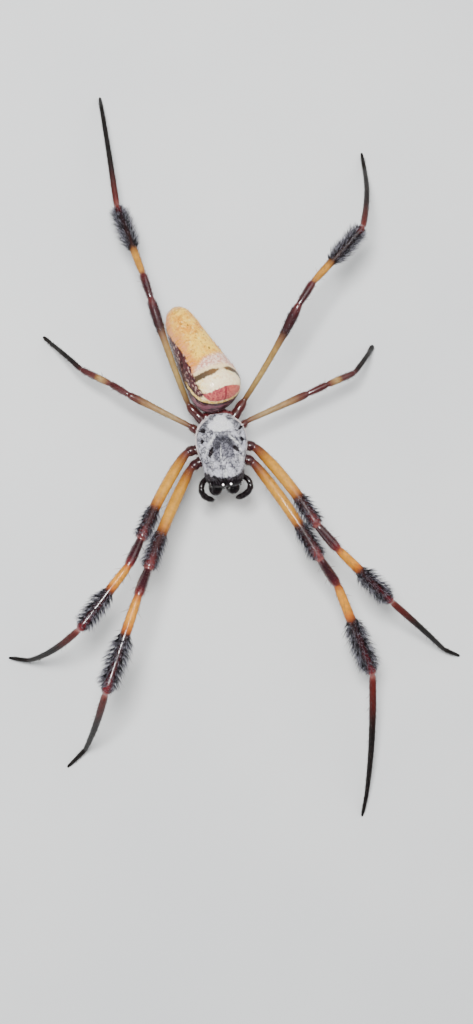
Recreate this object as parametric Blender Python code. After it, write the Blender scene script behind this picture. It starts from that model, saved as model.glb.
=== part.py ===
"""Golden silk orb-weaver, adult female: a still, life-size model standing on its eight feet.

The head looks along -Y, the spider's left is +X, and the floor is z = 0.
Lengths in the tables below are in millimetres and are turned into metres as they are used.
"""

import math

import bmesh
import bpy
from mathutils import Matrix, Vector

MM = 0.001
COLLECTION = "orb_weaver"
TOUCH_GAP = 0.3  # clear space between neighbouring plates
TUBE_SIDES_RESOLUTION = 3  # bevel resolution of the leg tubes, ten sides

# ---- front body: carapace, breastplate, mouthparts ---------------------------------------------
CARAPACE_EDGE = 10.05  # height of the carapace's lower edge
CARAPACE_RIM = 0.35  # upright band above that edge
# y, half width, height of the crown above the floor, squareness of the section
CARAPACE_STATIONS = (
    (-5.05, 1.45, 11.85, 2.6),
    (-4.90, 1.95, 12.25, 2.6),
    (-4.50, 2.40, 12.60, 2.5),
    (-3.60, 2.72, 12.88, 2.4),
    (-2.40, 2.82, 12.92, 2.3),
    (-1.40, 2.98, 12.62, 2.2),
    (-0.50, 3.28, 12.15, 2.1),
    (0.60, 3.60, 11.95, 2.0),
    (1.80, 3.68, 11.95, 2.0),
    (3.00, 3.38, 11.72, 2.0),
    (4.00, 2.70, 11.28, 2.0),
    (4.70, 1.80, 10.85, 2.0),
    (5.00, 1.05, 10.62, 2.0),
)
CROWN_POINTS = 17  # points over the arch of one carapace section
BELLY_POINTS = 4  # points along its flat underside
BELLY_SHARE = 0.9  # how much of the width that underside takes

STERNUM_FLOOR = 7.6
STERNUM_BELLY = 8.50  # where its round underside starts
STERNUM_SLOPE = 0.25  # rise of the keel where the plate is narrow
STERNUM_WIDEST = 1.48
STERNUM_ARC = 6  # steps along that underside
STERNUM_TOP = CARAPACE_EDGE - TOUCH_GAP
# y and half width of the shield-shaped breastplate, front to rear
STERNUM_STATIONS = ((-1.75, 1.00), (-1.30, 1.32), (-0.20, 1.48), (1.20, 1.35), (2.40, 0.85), (3.25, 0.35))

MAXILLAE_SIZE = (2.7, 1.15, 1.5)
MAXILLAE_PLACE = (0.0, -2.68, 8.35)

CHELICERA_SIZE = (2.16, 2.64, 3.35)
CHELICERA_PLACE = (1.13, -4.87, 8.05)
FANG_LENGTH = 1.35
FANG_RADIUS = 0.21
FANG_PLACE = (0.80, -4.95, 5.98)

# the bent palp: x, y, height, radius from its root to its tip
PALP_ROUTE = (
    (1.82, -2.95, 8.60, 0.34),
    (2.42, -3.45, 8.95, 0.42),
    (2.96, -4.10, 9.30, 0.46),
    (3.26, -4.90, 9.45, 0.48),
    (3.10, -5.70, 9.22, 0.48),
    (2.42, -6.34, 8.88, 0.45),
    (1.40, -6.62, 8.45, 0.31),
)
PALP_SPREAD = {1: 0.38, -1: 0.0}  # the left one reaches further out

# each pair of eyes: station along y, angle up the section from its side, radius; the front pair
# sits on the face itself
EYE_BACK_MIDDLE = (-4.66, 80.5, 0.26)
EYE_FRONT_SIDE = (-4.80, 20.0, 0.16)
EYE_BACK_SIDE = (-4.45, 33.0, 0.16)
EYE_FACE = (0.40, 11.35, 0.19)  # x, height, radius
EYE_GAP = 0.03

# ---- waist and abdomen --------------------------------------------------------------------------
PEDICEL_ROUTE = ((0.0, 3.60, 9.00), (0.05, 4.50, 9.12), (0.16, 5.10, 9.38))
PEDICEL_RADIUS = 0.55

ABDOMEN_FRONT = (0.53, 6.12, 11.85)
ABDOMEN_LENGTH = 15.63
ABDOMEN_YAW = 19.5  # the tail swings to the spider's right
ABDOMEN_PITCH = 18.0  # the tail hangs lower than the front
ABDOMEN_ROLL = 22.0  # the back leans to the spider's left
ABDOMEN_FLATNESS = 0.94  # height over width
ABDOMEN_CHIN = 0.80  # how far the lower front bulges over the waist
ABDOMEN_CHIN_REACH = 0.32  # share of the length over which the bulge fades
ABDOMEN_CHIN_DEPTH = 3.5  # distance below the middle at which it is full
# fraction of the length, half width, shift to the right
ABDOMEN_PROFILE = (
    (0.0, 0.35, 0.0),
    (0.006, 1.30, 0.0),
    (0.025, 2.35, 0.0),
    (0.07, 3.30, -0.04),
    (0.14, 3.72, -0.08),
    (0.22, 3.80, -0.12),
    (0.34, 3.53, -0.02),
    (0.50, 3.15, 0.12),
    (0.66, 2.70, 0.16),
    (0.80, 2.36, 0.17),
    (0.90, 1.98, 0.10),
    (0.96, 1.40, 0.03),
    (0.99, 0.75, 0.0),
    (1.0, 0.35, 0.0),
)
ABDOMEN_SIDES = 24
SPINNERET_PLACE = (0.965, -2.10)  # fraction of the abdomen's length, height off its axis
SPINNERET_LENGTH = 1.2
SPINNERET_TILT = 65.0  # back and down from the abdomen's own upright
SPINNERET_RADIUS = 0.62

# ---- legs -----------------------------------------------------------------------------------------
HIP_HEIGHT = 9.0
TOE_HEIGHT = 0.22
JOINT_GAP = 0.3

# femur, patella, tibia, metatarsus and tarsus of the pairs, front to rear
SEGMENTS = {
    "1": (16.3, 4.4, 13.7, 18.5, 3.7),
    "2": (14.2, 4.2, 10.8, 14.6, 3.2),
    "3": (9.4, 3.0, 4.7, 7.0, 2.2),
    "4": (15.5, 3.6, 11.0, 14.7, 2.9),
}
# where the left coxa leaves the breastplate and where it hands over to the femur: x, y
COXAE = {
    "1": ((1.95, -0.75), (4.30, -1.90)),
    "2": ((2.10, 0.60), (4.75, 0.25)),
    "3": ((1.95, 2.00), (3.87, 3.70)),
    "4": ((1.30, 3.25), (3.84, 6.55)),
}
# compass turn of each segment, outwards from straight ahead of the head, in degrees; the heights
# of the knee and of the three joints after it; sideways bows of the femur and the metatarsus;
# upward bow of the femur
POSE = {
    "l1": ((28, 31, 18, -4, -12), (12.2, 10.9, 8.6, 1.7), -0.3, -0.25, 0.3),
    "l2": ((31, 36, 42, 48, 63), (12.9, 12.8, 10.6, 1.6), -0.34, 0.0, 0.42),
    "l3": ((109, 110, 108, 133, 134), (8.5, 8.6, 7.1, 1.9), 0.0, 0.0, 0.0),
    "l4": ((146.8, 142, 132, 162, 179), (14.8, 14.5, 12.3, 1.4), 0.2, 0.3, 0.35),
    "r1": ((30, 29, 24, 16, 49), (14.5, 16.9, 17.5, 1.2), -0.26, 0.15, 0.3),
    "r2": ((34, 32, 43, 59, 102), (12.7, 14.2, 14.2, 1.7), -0.36, 0.45, 0.4),
    "r3": ((122, 128, 123, 141, 140), (8.9, 7.9, 6.1, 1.5), 0.0, 0.0, 0.0),
    "r4": ((164.8, 169, 167, 178, 182), (11.0, 10.2, 6.3, 2.4), 0.28, 0.0, 0.9),
}
METATARSUS_ARCH = 0.45

# outer radius along each segment, brushes of hair included: fraction of the length, radius
COXA_PROFILE = {
    "1": ((0.0, 0.58), (0.45, 0.82), (1.0, 0.77)),
    "2": ((0.0, 0.58), (0.45, 0.82), (1.0, 0.77)),
    "3": ((0.0, 0.55), (0.45, 0.68), (1.0, 0.58)),
    "4": ((0.0, 0.60), (0.40, 0.88), (0.75, 0.82), (1.0, 0.64)),
}
FEMUR_PROFILE = {
    "1": ((0.0, 0.66), (0.06, 0.82), (0.5, 0.84), (0.62, 1.15), (0.86, 1.25), (0.95, 0.92), (1.0, 0.76)),
    "2": ((0.0, 0.66), (0.06, 0.82), (0.5, 0.84), (0.62, 1.15), (0.86, 1.25), (0.95, 0.92), (1.0, 0.74)),
    "3": ((0.0, 0.40), (0.15, 0.42), (0.6, 0.50), (0.9, 0.60), (1.0, 0.50)),
    "4": ((0.0, 0.42), (0.1, 0.43), (0.64, 0.47), (0.76, 0.68), (0.88, 0.75), (0.96, 0.68), (1.0, 0.58)),
}
PATELLA_PROFILE = {
    "1": ((0.0, 0.68), (0.5, 0.78), (0.9, 0.82), (1.0, 0.72)),
    "2": ((0.0, 0.66), (0.5, 0.75), (0.9, 0.78), (1.0, 0.68)),
    "3": ((0.0, 0.46), (0.5, 0.54), (1.0, 0.48)),
    "4": ((0.0, 0.54), (0.5, 0.62), (0.9, 0.64), (1.0, 0.56)),
}
TIBIA_PROFILE = {
    "1": ((0.0, 0.64), (0.08, 0.72), (0.34, 0.76), (0.42, 1.55), (0.72, 1.76), (0.90, 1.40), (1.0, 0.76)),
    "2": ((0.0, 0.62), (0.08, 0.70), (0.32, 0.74), (0.42, 1.42), (0.72, 1.55), (0.90, 1.25), (1.0, 0.72)),
    "3": ((0.0, 0.44), (0.3, 0.52), (0.8, 0.50), (1.0, 0.44)),
    "4": ((0.0, 0.50), (0.08, 0.54), (0.40, 0.58), (0.50, 1.20), (0.76, 1.35), (0.92, 1.0), (1.0, 0.60)),
}
# metatarsus and tarsus together, as one foot
FOOT_PROFILE = {
    "1": ((0.0, 0.62), (0.12, 0.62), (0.35, 0.50), (0.65, 0.40), (0.85, 0.34), (1.0, 0.28)),
    "2": ((0.0, 0.58), (0.12, 0.56), (0.35, 0.46), (0.65, 0.38), (0.85, 0.33), (1.0, 0.28)),
    "3": ((0.0, 0.38), (0.3, 0.36), (0.7, 0.32), (1.0, 0.28)),
    "4": ((0.0, 0.48), (0.12, 0.46), (0.35, 0.40), (0.65, 0.35), (0.85, 0.32), (1.0, 0.28)),
}
FEMUR_RINGS = 9
PATELLA_RINGS = 4
TIBIA_RINGS = 9
METATARSUS_RINGS = 6
TARSUS_RINGS = 3

# ---- colours ----------------------------------------------------------------------------------------
SILVER_HAIR = (0.52, 0.51, 0.49)
BLACK_SHELL = (0.018, 0.013, 0.014)
MAROON_SHELL = (0.085, 0.018, 0.020)
YELLOW_SHELL = (0.60, 0.30, 0.085)
BRUSH_BLACK = (0.022, 0.018, 0.022)
OLIVE_TAN = (0.36, 0.24, 0.11)
GOLD_SKIN = (0.62, 0.42, 0.16)
EYE_BLACK = (0.008, 0.008, 0.010)


def blend(stations, position, column):
    """Read one column of a table of stations at a position, eased between its rows."""
    for before, after in zip(stations, stations[1:]):
        if position <= after[0]:
            share = (position - before[0]) / (after[0] - before[0])
            share = min(max(share, 0.0), 1.0)
            return before[column] + (after[column] - before[column]) * share
    return stations[-1][column]


def make_material(name, color, roughness):
    """A plain Principled material."""
    material = bpy.data.materials.new(name)
    material.use_nodes = True
    shader = material.node_tree.nodes["Principled BSDF"]
    shader.inputs["Base Color"].default_value = (*color, 1.0)
    shader.inputs["Roughness"].default_value = roughness
    shader.inputs["Metallic"].default_value = 0.0
    material.diffuse_color = (*color, 1.0)
    return material


def add_piece(name, data, collection, root, color, roughness):
    """Put one piece into the scene under the root, with its own material."""
    piece = bpy.data.objects.new(name, data)
    collection.objects.link(piece)
    piece.parent = root
    data.materials.clear()
    data.materials.append(make_material(name, color, roughness))
    return piece


def tube(name, points, radii):
    """A round bar along the points, in millimetres, with a radius at each and flat ends."""
    curve = bpy.data.curves.new(name, "CURVE")
    curve.dimensions = "3D"
    curve.bevel_depth = MM
    curve.bevel_resolution = TUBE_SIDES_RESOLUTION
    curve.use_fill_caps = True
    spline = curve.splines.new("POLY")
    spline.points.add(len(points) - 1)
    for point, place, radius in zip(spline.points, points, radii):
        point.co = (*(place * MM), 1.0)
        point.radius = radius
    return curve


def loft(name, rings):
    """Skin a closed solid over rings of equal point counts, in millimetres."""
    mesh = bpy.data.meshes.new(name)
    shape = bmesh.new()
    loops = [[shape.verts.new(place * MM) for place in ring] for ring in rings]
    for near, far in zip(loops, loops[1:]):
        for index in range(len(near)):
            after = (index + 1) % len(near)
            shape.faces.new((near[index], near[after], far[after], far[index]))
    shape.faces.new(list(reversed(loops[0])))
    shape.faces.new(loops[-1])
    bmesh.ops.recalc_face_normals(shape, faces=shape.faces)
    shape.to_mesh(mesh)
    shape.free()
    mesh.shade_smooth()
    mesh.set_sharp_from_angle(angle=math.radians(40))
    return mesh


def ellipsoid(name, size, columns, rows):
    """A ball stretched to a size in millimetres."""
    mesh = bpy.data.meshes.new(name)
    shape = bmesh.new()
    bmesh.ops.create_uvsphere(shape, u_segments=columns, v_segments=rows, radius=0.5)
    bmesh.ops.scale(shape, vec=Vector(size) * MM, verts=shape.verts)
    shape.to_mesh(mesh)
    shape.free()
    mesh.shade_smooth()
    return mesh


# ---- front body -------------------------------------------------------------------------------------


def carapace_point(y, angle):
    """The carapace's surface over its arch: angle 0 is its left side, 90 the crown."""
    half_width = blend(CARAPACE_STATIONS, y, 1)
    crown = blend(CARAPACE_STATIONS, y, 2)
    squareness = blend(CARAPACE_STATIONS, y, 3)
    side = math.cos(math.radians(angle))
    lift = math.sin(math.radians(angle))
    spring = CARAPACE_EDGE + CARAPACE_RIM
    x = math.copysign(abs(side) ** (2 / squareness), side) * half_width
    return Vector((x, y, spring + (crown - spring) * lift ** (2 / squareness)))


def carapace_section(y):
    """One ring of the carapace: over the arch, then back along the flat underside."""
    ring = [carapace_point(y, 180.0 * step / (CROWN_POINTS - 1)) for step in range(CROWN_POINTS)]
    half_width = blend(CARAPACE_STATIONS, y, 1)
    for step in range(BELLY_POINTS):
        share = step / (BELLY_POINTS - 1)
        ring.append(Vector((half_width * BELLY_SHARE * (2 * share - 1), y, CARAPACE_EDGE)))
    return ring


def make_carapace():
    """The shield over the front body, with the raised head at its front."""
    return loft("carapace", [carapace_section(station[0]) for station in CARAPACE_STATIONS])


def make_sternum():
    """The breastplate and the core of flesh above it, between the coxae."""
    rings = []
    for y, half_width in STERNUM_STATIONS:
        keel = STERNUM_FLOOR + STERNUM_SLOPE * (STERNUM_WIDEST - half_width)
        ring = [Vector((half_width * math.cos(a), y, 0)) for a in (0.0, math.pi)]
        ring[0].z = STERNUM_TOP
        ring[1].z = STERNUM_TOP
        for step in range(STERNUM_ARC + 1):
            turn = math.pi * (1 + step / STERNUM_ARC)
            drop = (STERNUM_BELLY - keel) * math.sin(turn)
            ring.append(Vector((half_width * math.cos(turn), y, STERNUM_BELLY + drop)))
        rings.append(ring)
    return loft("sternum", rings)


def make_maxillae():
    """The pair of mouth lobes behind the jaws, as one rounded block."""
    return ellipsoid("maxillae", MAXILLAE_SIZE, 16, 10)


def make_palp(name, side):
    """One feeler: out from the mouth, forward and round in front of the jaws."""
    last = len(PALP_ROUTE) - 1
    reach = [math.sin(math.pi * index / last) for index in range(len(PALP_ROUTE))]
    places = [
        Vector((side * (x + PALP_SPREAD[side] * share), y, z))
        for share, (x, y, z, _) in zip(reach, PALP_ROUTE)
    ]
    radii = [row[3] for row in PALP_ROUTE]
    return tube(name, places, radii)


def make_eye(name, radius):
    """A lens: the front half of a ball, flat behind."""
    mesh = bpy.data.meshes.new(name)
    shape = bmesh.new()
    bmesh.ops.create_uvsphere(shape, u_segments=10, v_segments=6, radius=radius * MM)
    cut = bmesh.ops.bisect_plane(
        shape,
        geom=shape.verts[:] + shape.edges[:] + shape.faces[:],
        plane_co=(0, 0, 0),
        plane_no=(0, 0, -1),
        clear_outer=True,
    )
    rim = [item for item in cut["geom_cut"] if isinstance(item, bmesh.types.BMEdge)]
    bmesh.ops.holes_fill(shape, edges=rim)
    bmesh.ops.recalc_face_normals(shape, faces=shape.faces)
    shape.to_mesh(mesh)
    shape.free()
    mesh.shade_smooth()
    mesh.set_sharp_from_angle(angle=math.radians(50))
    return mesh


def carapace_normal(y, angle):
    """Which way the carapace faces at a place on its arch."""
    along = carapace_point(y + 0.05, angle) - carapace_point(y - 0.05, angle)
    around = carapace_point(y, angle + 1) - carapace_point(y, angle - 1)
    normal = along.cross(around).normalized()
    return normal if normal.dot(carapace_point(y, angle) - Vector((0, y + 1, 10))) > 0 else -normal


def place_eye(piece, place, normal):
    """Set a lens just clear of the shell, looking along the normal."""
    piece.location = (place + normal * EYE_GAP) * MM
    piece.rotation_euler = normal.to_track_quat("Z", "Y").to_euler()


def add_eyes(collection, root):
    """Eight eyes: two pairs in the middle, two at each corner of the head."""
    pairs = {
        "eye_back_middle": EYE_BACK_MIDDLE,
        "eye_front_side": EYE_FRONT_SIDE,
        "eye_back_side": EYE_BACK_SIDE,
    }
    for tag, mirror in (("l", 1), ("r", -1)):
        for base, (y, angle, radius) in pairs.items():
            name = f"{base}_{tag}"
            piece = add_piece(name, make_eye(name, radius), collection, root, EYE_BLACK, 0.05)
            place = carapace_point(y, angle)
            normal = carapace_normal(y, angle)
            flip = Vector((mirror, 1, 1))
            place_eye(piece, place * flip, normal * flip)
        x, height, radius = EYE_FACE
        name = f"eye_front_middle_{tag}"
        piece = add_piece(name, make_eye(name, radius), collection, root, EYE_BLACK, 0.05)
        face = Vector((mirror * x, CARAPACE_STATIONS[0][0], height))
        place_eye(piece, face, Vector((0, -1, 0)))


def add_jaws(collection, root):
    """The two stout chelicerae and the fang folded inwards under each."""
    for tag, mirror in (("l", 1), ("r", -1)):
        x, y, z = CHELICERA_PLACE
        name = f"chelicera_{tag}"
        mesh = ellipsoid(name, CHELICERA_SIZE, 16, 12)
        piece = add_piece(name, mesh, collection, root, BLACK_SHELL, 0.22)
        piece.location = Vector((mirror * x, y, z)) * MM
        x, y, z = FANG_PLACE
        name = f"fang_{tag}"
        mesh = bpy.data.meshes.new(name)
        shape = bmesh.new()
        bmesh.ops.create_cone(
            shape,
            cap_ends=True,
            segments=10,
            radius1=FANG_RADIUS * MM,
            radius2=0.25 * FANG_RADIUS * MM,
            depth=FANG_LENGTH * MM,
        )
        shape.to_mesh(mesh)
        shape.free()
        piece = add_piece(name, mesh, collection, root, BLACK_SHELL, 0.18)
        piece.location = Vector((mirror * x, y, z)) * MM
        piece.rotation_euler = (0, math.radians(-90 * mirror), 0)


# ---- waist and abdomen ---------------------------------------------------------------------------


def abdomen_matrix():
    """From the abdomen's own frame, its length along +Z and its back along +Y, to the model's."""
    lay_down = Matrix.Rotation(math.radians(-90), 4, "X")
    roll = Matrix.Rotation(math.radians(ABDOMEN_ROLL), 4, "Y")
    pitch = Matrix.Rotation(math.radians(-ABDOMEN_PITCH), 4, "X")
    yaw = Matrix.Rotation(math.radians(ABDOMEN_YAW), 4, "Z")
    upright = Matrix.Rotation(math.radians(180), 4, "Z")
    return Matrix.Translation(Vector(ABDOMEN_FRONT) * MM) @ yaw @ pitch @ roll @ lay_down @ upright


def make_abdomen():
    """The long sack of the abdomen, ring after ring, its lower front bulging over the waist."""
    rings = []
    for share, radius, aside in ABDOMEN_PROFILE:
        fade = max(0.0, 1 - share / ABDOMEN_CHIN_REACH)
        ring = []
        for side in range(ABDOMEN_SIDES):
            turn = 2 * math.pi * side / ABDOMEN_SIDES
            up = radius * ABDOMEN_FLATNESS * math.cos(turn)
            chin = ABDOMEN_CHIN * fade * max(0.0, -up) / ABDOMEN_CHIN_DEPTH
            across = aside + radius * math.sin(turn)
            ring.append(Vector((across, up, share * ABDOMEN_LENGTH - chin)))
        rings.append(ring)
    return loft("abdomen", rings)


def add_abdomen(collection, root):
    """Abdomen, the spinning organs under its tail and the waist in front."""
    piece = add_piece("abdomen", make_abdomen(), collection, root, GOLD_SKIN, 0.45)
    piece.matrix_local = abdomen_matrix()
    share, height = SPINNERET_PLACE
    mesh = bpy.data.meshes.new("spinnerets")
    shape = bmesh.new()
    bmesh.ops.create_cone(
        shape,
        cap_ends=True,
        segments=16,
        radius1=SPINNERET_RADIUS * MM,
        radius2=0.5 * SPINNERET_RADIUS * MM,
        depth=SPINNERET_LENGTH * MM,
    )
    shape.to_mesh(mesh)
    shape.free()
    cone = add_piece("spinnerets", mesh, collection, root, MAROON_SHELL, 0.4)
    hang = Matrix.Translation(Vector((0, height, share * ABDOMEN_LENGTH)) * MM)
    cone.matrix_local = abdomen_matrix() @ hang @ Matrix.Rotation(math.radians(SPINNERET_TILT), 4, "X")
    waist = tube("pedicel", [Vector(place) for place in PEDICEL_ROUTE], [PEDICEL_RADIUS] * 3)
    add_piece("pedicel", waist, collection, root, MAROON_SHELL, 0.4)


# ---- legs ------------------------------------------------------------------------------------------


def leg_joints(leg):
    """Hip, knee, patella end, tibia end, metatarsus end and toe, from the lengths and the pose."""
    mirror = 1 if leg[0] == "l" else -1
    turns, heights = POSE[leg][:2]
    x, y = COXAE[leg[1]][1]
    joints = [Vector((mirror * x, y, HIP_HEIGHT))]
    for length, turn, height in zip(SEGMENTS[leg[1]], turns, (*heights, TOE_HEIGHT)):
        rise = height - joints[-1].z
        reach = math.sqrt(length**2 - rise**2)
        way = math.radians(turn)
        step = Vector((mirror * reach * math.sin(way), -reach * math.cos(way), rise))
        joints.append(joints[-1] + step)
    return joints


def bowed(start, end, rings, arch, bow):
    """Points from start to end, arched upwards and bowed sideways in the middle."""
    along = end - start
    across = along.cross(Vector((0, 0, 1))).normalized()
    up = across.cross(along).normalized()
    points = []
    for ring in range(rings):
        share = ring / (rings - 1)
        swell = 4 * share * (1 - share)
        points.append(start + along * share + up * arch * swell + across * bow * swell)
    return points


def trim(before, joint, after, radius):
    """How far a segment stops short of a joint so that it clears the next one at their bend."""
    bend = (joint - before).angle(after - joint)
    return JOINT_GAP / 2 + radius * math.tan(bend / 2)


def segment(name, profile, start, end, rings, arch, bow):
    """One leg segment with its outer radius along it."""
    points = bowed(start, end, rings, arch, bow)
    radii = [blend(profile, ring / (rings - 1), 1) for ring in range(rings)]
    return tube(name, points, radii)


def shorten(start, end, at_start, at_end):
    """The same stretch with a little taken off each end."""
    way = (end - start).normalized()
    return start + way * at_start, end - way * at_end


def cut_at_floor(name, curve, collection):
    """Turn a tube into a mesh and cut it level with the floor, for the foot's small flat."""
    holder = bpy.data.objects.new(name, curve)
    collection.objects.link(holder)
    graph = bpy.context.evaluated_depsgraph_get()
    mesh = bpy.data.meshes.new_from_object(holder.evaluated_get(graph))
    bpy.data.objects.remove(holder)
    shape = bmesh.new()
    shape.from_mesh(mesh)
    bmesh.ops.remove_doubles(shape, verts=shape.verts, dist=0.000001)
    cut = bmesh.ops.bisect_plane(
        shape,
        geom=shape.verts[:] + shape.edges[:] + shape.faces[:],
        plane_co=(0, 0, 0),
        plane_no=(0, 0, -1),
        clear_outer=True,
    )
    rim = [item for item in cut["geom_cut"] if isinstance(item, bmesh.types.BMEdge)]
    bmesh.ops.holes_fill(shape, edges=rim)
    bmesh.ops.recalc_face_normals(shape, faces=shape.faces)
    shape.to_mesh(mesh)
    shape.free()
    mesh.name = name
    mesh.shade_smooth()
    mesh.set_sharp_from_angle(angle=math.radians(50))
    return mesh


def make_foot(name, leg, joints, start_trim, collection):
    """Metatarsus and tarsus as one tapering foot, flat where it stands."""
    pair = leg[1]
    profile = FOOT_PROFILE[pair]
    ankle = joints[4]
    start, _ = shorten(joints[3], ankle, start_trim, 0)
    bow = POSE[leg][3]
    mirror = 1 if leg[0] == "l" else -1
    points = bowed(start, ankle, METATARSUS_RINGS, METATARSUS_ARCH, mirror * bow)
    points += bowed(ankle, joints[5], TARSUS_RINGS, 0, 0)[1:]
    total = sum(SEGMENTS[pair][3:])
    travelled = 0.0
    radii = [profile[0][1]]
    for near, far in zip(points, points[1:]):
        travelled += (far - near).length
        radii.append(blend(profile, travelled / total, 1))
    return cut_at_floor(name, tube(name, points, radii), collection)


def add_leg(leg, collection, root):
    """The five pieces of one leg, from the coxa to the foot."""
    pair = leg[1]
    mirror = 1 if leg[0] == "l" else -1
    joints = leg_joints(leg)
    root_x, root_y = COXAE[pair][0]
    inner = Vector((mirror * root_x, root_y, HIP_HEIGHT - 0.1))
    chain = [inner] + joints
    profiles = (COXA_PROFILE, FEMUR_PROFILE, PATELLA_PROFILE, TIBIA_PROFILE, FOOT_PROFILE)
    radii = [max(near[pair][-1][1], far[pair][0][1]) for near, far in zip(profiles, profiles[1:])]
    trims = [trim(chain[i], chain[i + 1], chain[i + 2], radii[i]) for i in range(4)]
    dark = MAROON_SHELL
    pale = OLIVE_TAN if pair in "34" else YELLOW_SHELL

    start, end = shorten(chain[0], chain[1], 0, trims[0])
    coxa = segment(f"coxa_{leg}", COXA_PROFILE[pair], start, end, 3, 0, 0)
    add_piece(f"coxa_{leg}", coxa, collection, root, dark, 0.3)

    start, end = shorten(chain[1], chain[2], trims[0], trims[1])
    bow = mirror * POSE[leg][2]
    arch = POSE[leg][4]
    femur = segment(f"femur_{leg}", FEMUR_PROFILE[pair], start, end, FEMUR_RINGS, arch, bow)
    add_piece(f"femur_{leg}", femur, collection, root, pale, 0.4)

    start, end = shorten(chain[2], chain[3], trims[1], trims[2])
    patella = segment(f"patella_{leg}", PATELLA_PROFILE[pair], start, end, PATELLA_RINGS, 0, 0)
    add_piece(f"patella_{leg}", patella, collection, root, dark, 0.25)

    start, end = shorten(chain[3], chain[4], trims[2], trims[3])
    tibia = segment(f"tibia_{leg}", TIBIA_PROFILE[pair], start, end, TIBIA_RINGS, 0, 0)
    add_piece(f"tibia_{leg}", tibia, collection, root, BRUSH_BLACK, 0.5)

    foot = make_foot(f"foot_{leg}", leg, joints, trims[3], collection)
    add_piece(f"foot_{leg}", foot, collection, root, dark, 0.4)


def centre_of_stance():
    """The middle of the rectangle that the eight toes reach to."""
    toes = [leg_joints(leg)[-1] for leg in POSE]
    reach = [FOOT_PROFILE["1"][-1][1]] * 2
    low = [min(toe[axis] for toe in toes) - reach[axis] for axis in (0, 1)]
    high = [max(toe[axis] for toe in toes) + reach[axis] for axis in (0, 1)]
    return Vector(((low[0] + high[0]) / 2, (low[1] + high[1]) / 2, 0))


def build():
    """Model the whole spider."""
    for leftover in list(bpy.data.objects):
        bpy.data.objects.remove(leftover)
    collection = bpy.data.collections.new(COLLECTION)
    bpy.context.scene.collection.children.link(collection)
    root = bpy.data.objects.new("root", None)
    collection.objects.link(root)
    root.location = -centre_of_stance() * MM

    add_piece("carapace", make_carapace(), collection, root, SILVER_HAIR, 0.6)
    add_piece("sternum", make_sternum(), collection, root, MAROON_SHELL, 0.4)
    mouth = add_piece("maxillae", make_maxillae(), collection, root, MAROON_SHELL, 0.4)
    mouth.location = Vector(MAXILLAE_PLACE) * MM
    for tag, mirror in (("l", 1), ("r", -1)):
        name = f"palp_{tag}"
        add_piece(name, make_palp(name, mirror), collection, root, BLACK_SHELL, 0.3)
    add_jaws(collection, root)
    add_eyes(collection, root)
    add_abdomen(collection, root)
    for leg in POSE:
        add_leg(leg, collection, root)


build()
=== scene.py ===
# %% [markdown]
# # An orb weaver spider, life size
# This lesson dresses a golden silk orb weaver, an adult female with a body about as long as a thumb
# joint, as a still model for a museum shelf.
# The plain solids of the frame say where each part is and how big it may be, so every piece below takes
# its place from them.
# The work goes from the stage to the legs, then the head, the abdomen and the coats of hair.

# %% Load the frame
import math

import bpy
import numpy as np
from mathutils import Matrix, Vector


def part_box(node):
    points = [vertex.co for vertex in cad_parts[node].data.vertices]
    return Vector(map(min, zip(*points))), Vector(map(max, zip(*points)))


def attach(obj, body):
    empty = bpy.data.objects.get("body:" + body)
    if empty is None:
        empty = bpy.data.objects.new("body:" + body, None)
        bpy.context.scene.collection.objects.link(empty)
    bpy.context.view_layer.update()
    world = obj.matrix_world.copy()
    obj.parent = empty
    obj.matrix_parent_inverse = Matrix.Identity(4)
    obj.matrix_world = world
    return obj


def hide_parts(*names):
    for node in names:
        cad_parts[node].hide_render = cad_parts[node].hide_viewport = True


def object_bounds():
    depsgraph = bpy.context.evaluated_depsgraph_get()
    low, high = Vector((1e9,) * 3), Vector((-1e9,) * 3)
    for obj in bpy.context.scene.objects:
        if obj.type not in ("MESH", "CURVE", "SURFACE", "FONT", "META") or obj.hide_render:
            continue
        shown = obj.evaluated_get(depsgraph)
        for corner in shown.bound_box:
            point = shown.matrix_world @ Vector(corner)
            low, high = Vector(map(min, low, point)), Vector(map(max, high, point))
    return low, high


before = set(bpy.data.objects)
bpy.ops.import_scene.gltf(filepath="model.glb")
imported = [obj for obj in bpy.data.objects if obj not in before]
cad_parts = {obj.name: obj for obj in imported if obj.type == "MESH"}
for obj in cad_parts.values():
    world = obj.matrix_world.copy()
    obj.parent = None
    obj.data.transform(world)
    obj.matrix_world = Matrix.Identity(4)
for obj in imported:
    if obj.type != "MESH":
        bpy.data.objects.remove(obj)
cad_low, cad_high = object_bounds()
MM = 0.001
print("the frame is", [round(v / MM, 1) for v in cad_high - cad_low], "mm")

# %% [markdown]
# ## The stage
# A small animal is shown on a pale table under a big soft light, with one smaller light beside the camera
# that draws the long glints on its shell.
# The camera looks nearly straight down on the back, turned a little, as one looks at a spider from in
# front of its web.

# %% The camera
VIEW_LEAN, VIEW_TIP, VIEW_ROLL = 7.4, 0.4, -5.3
VIEW_DISTANCE = 0.32
VIEW_LENS = 82.7
VIEW_CENTRE = Vector((0.558, -7.572, 0.526)) * MM


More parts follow.
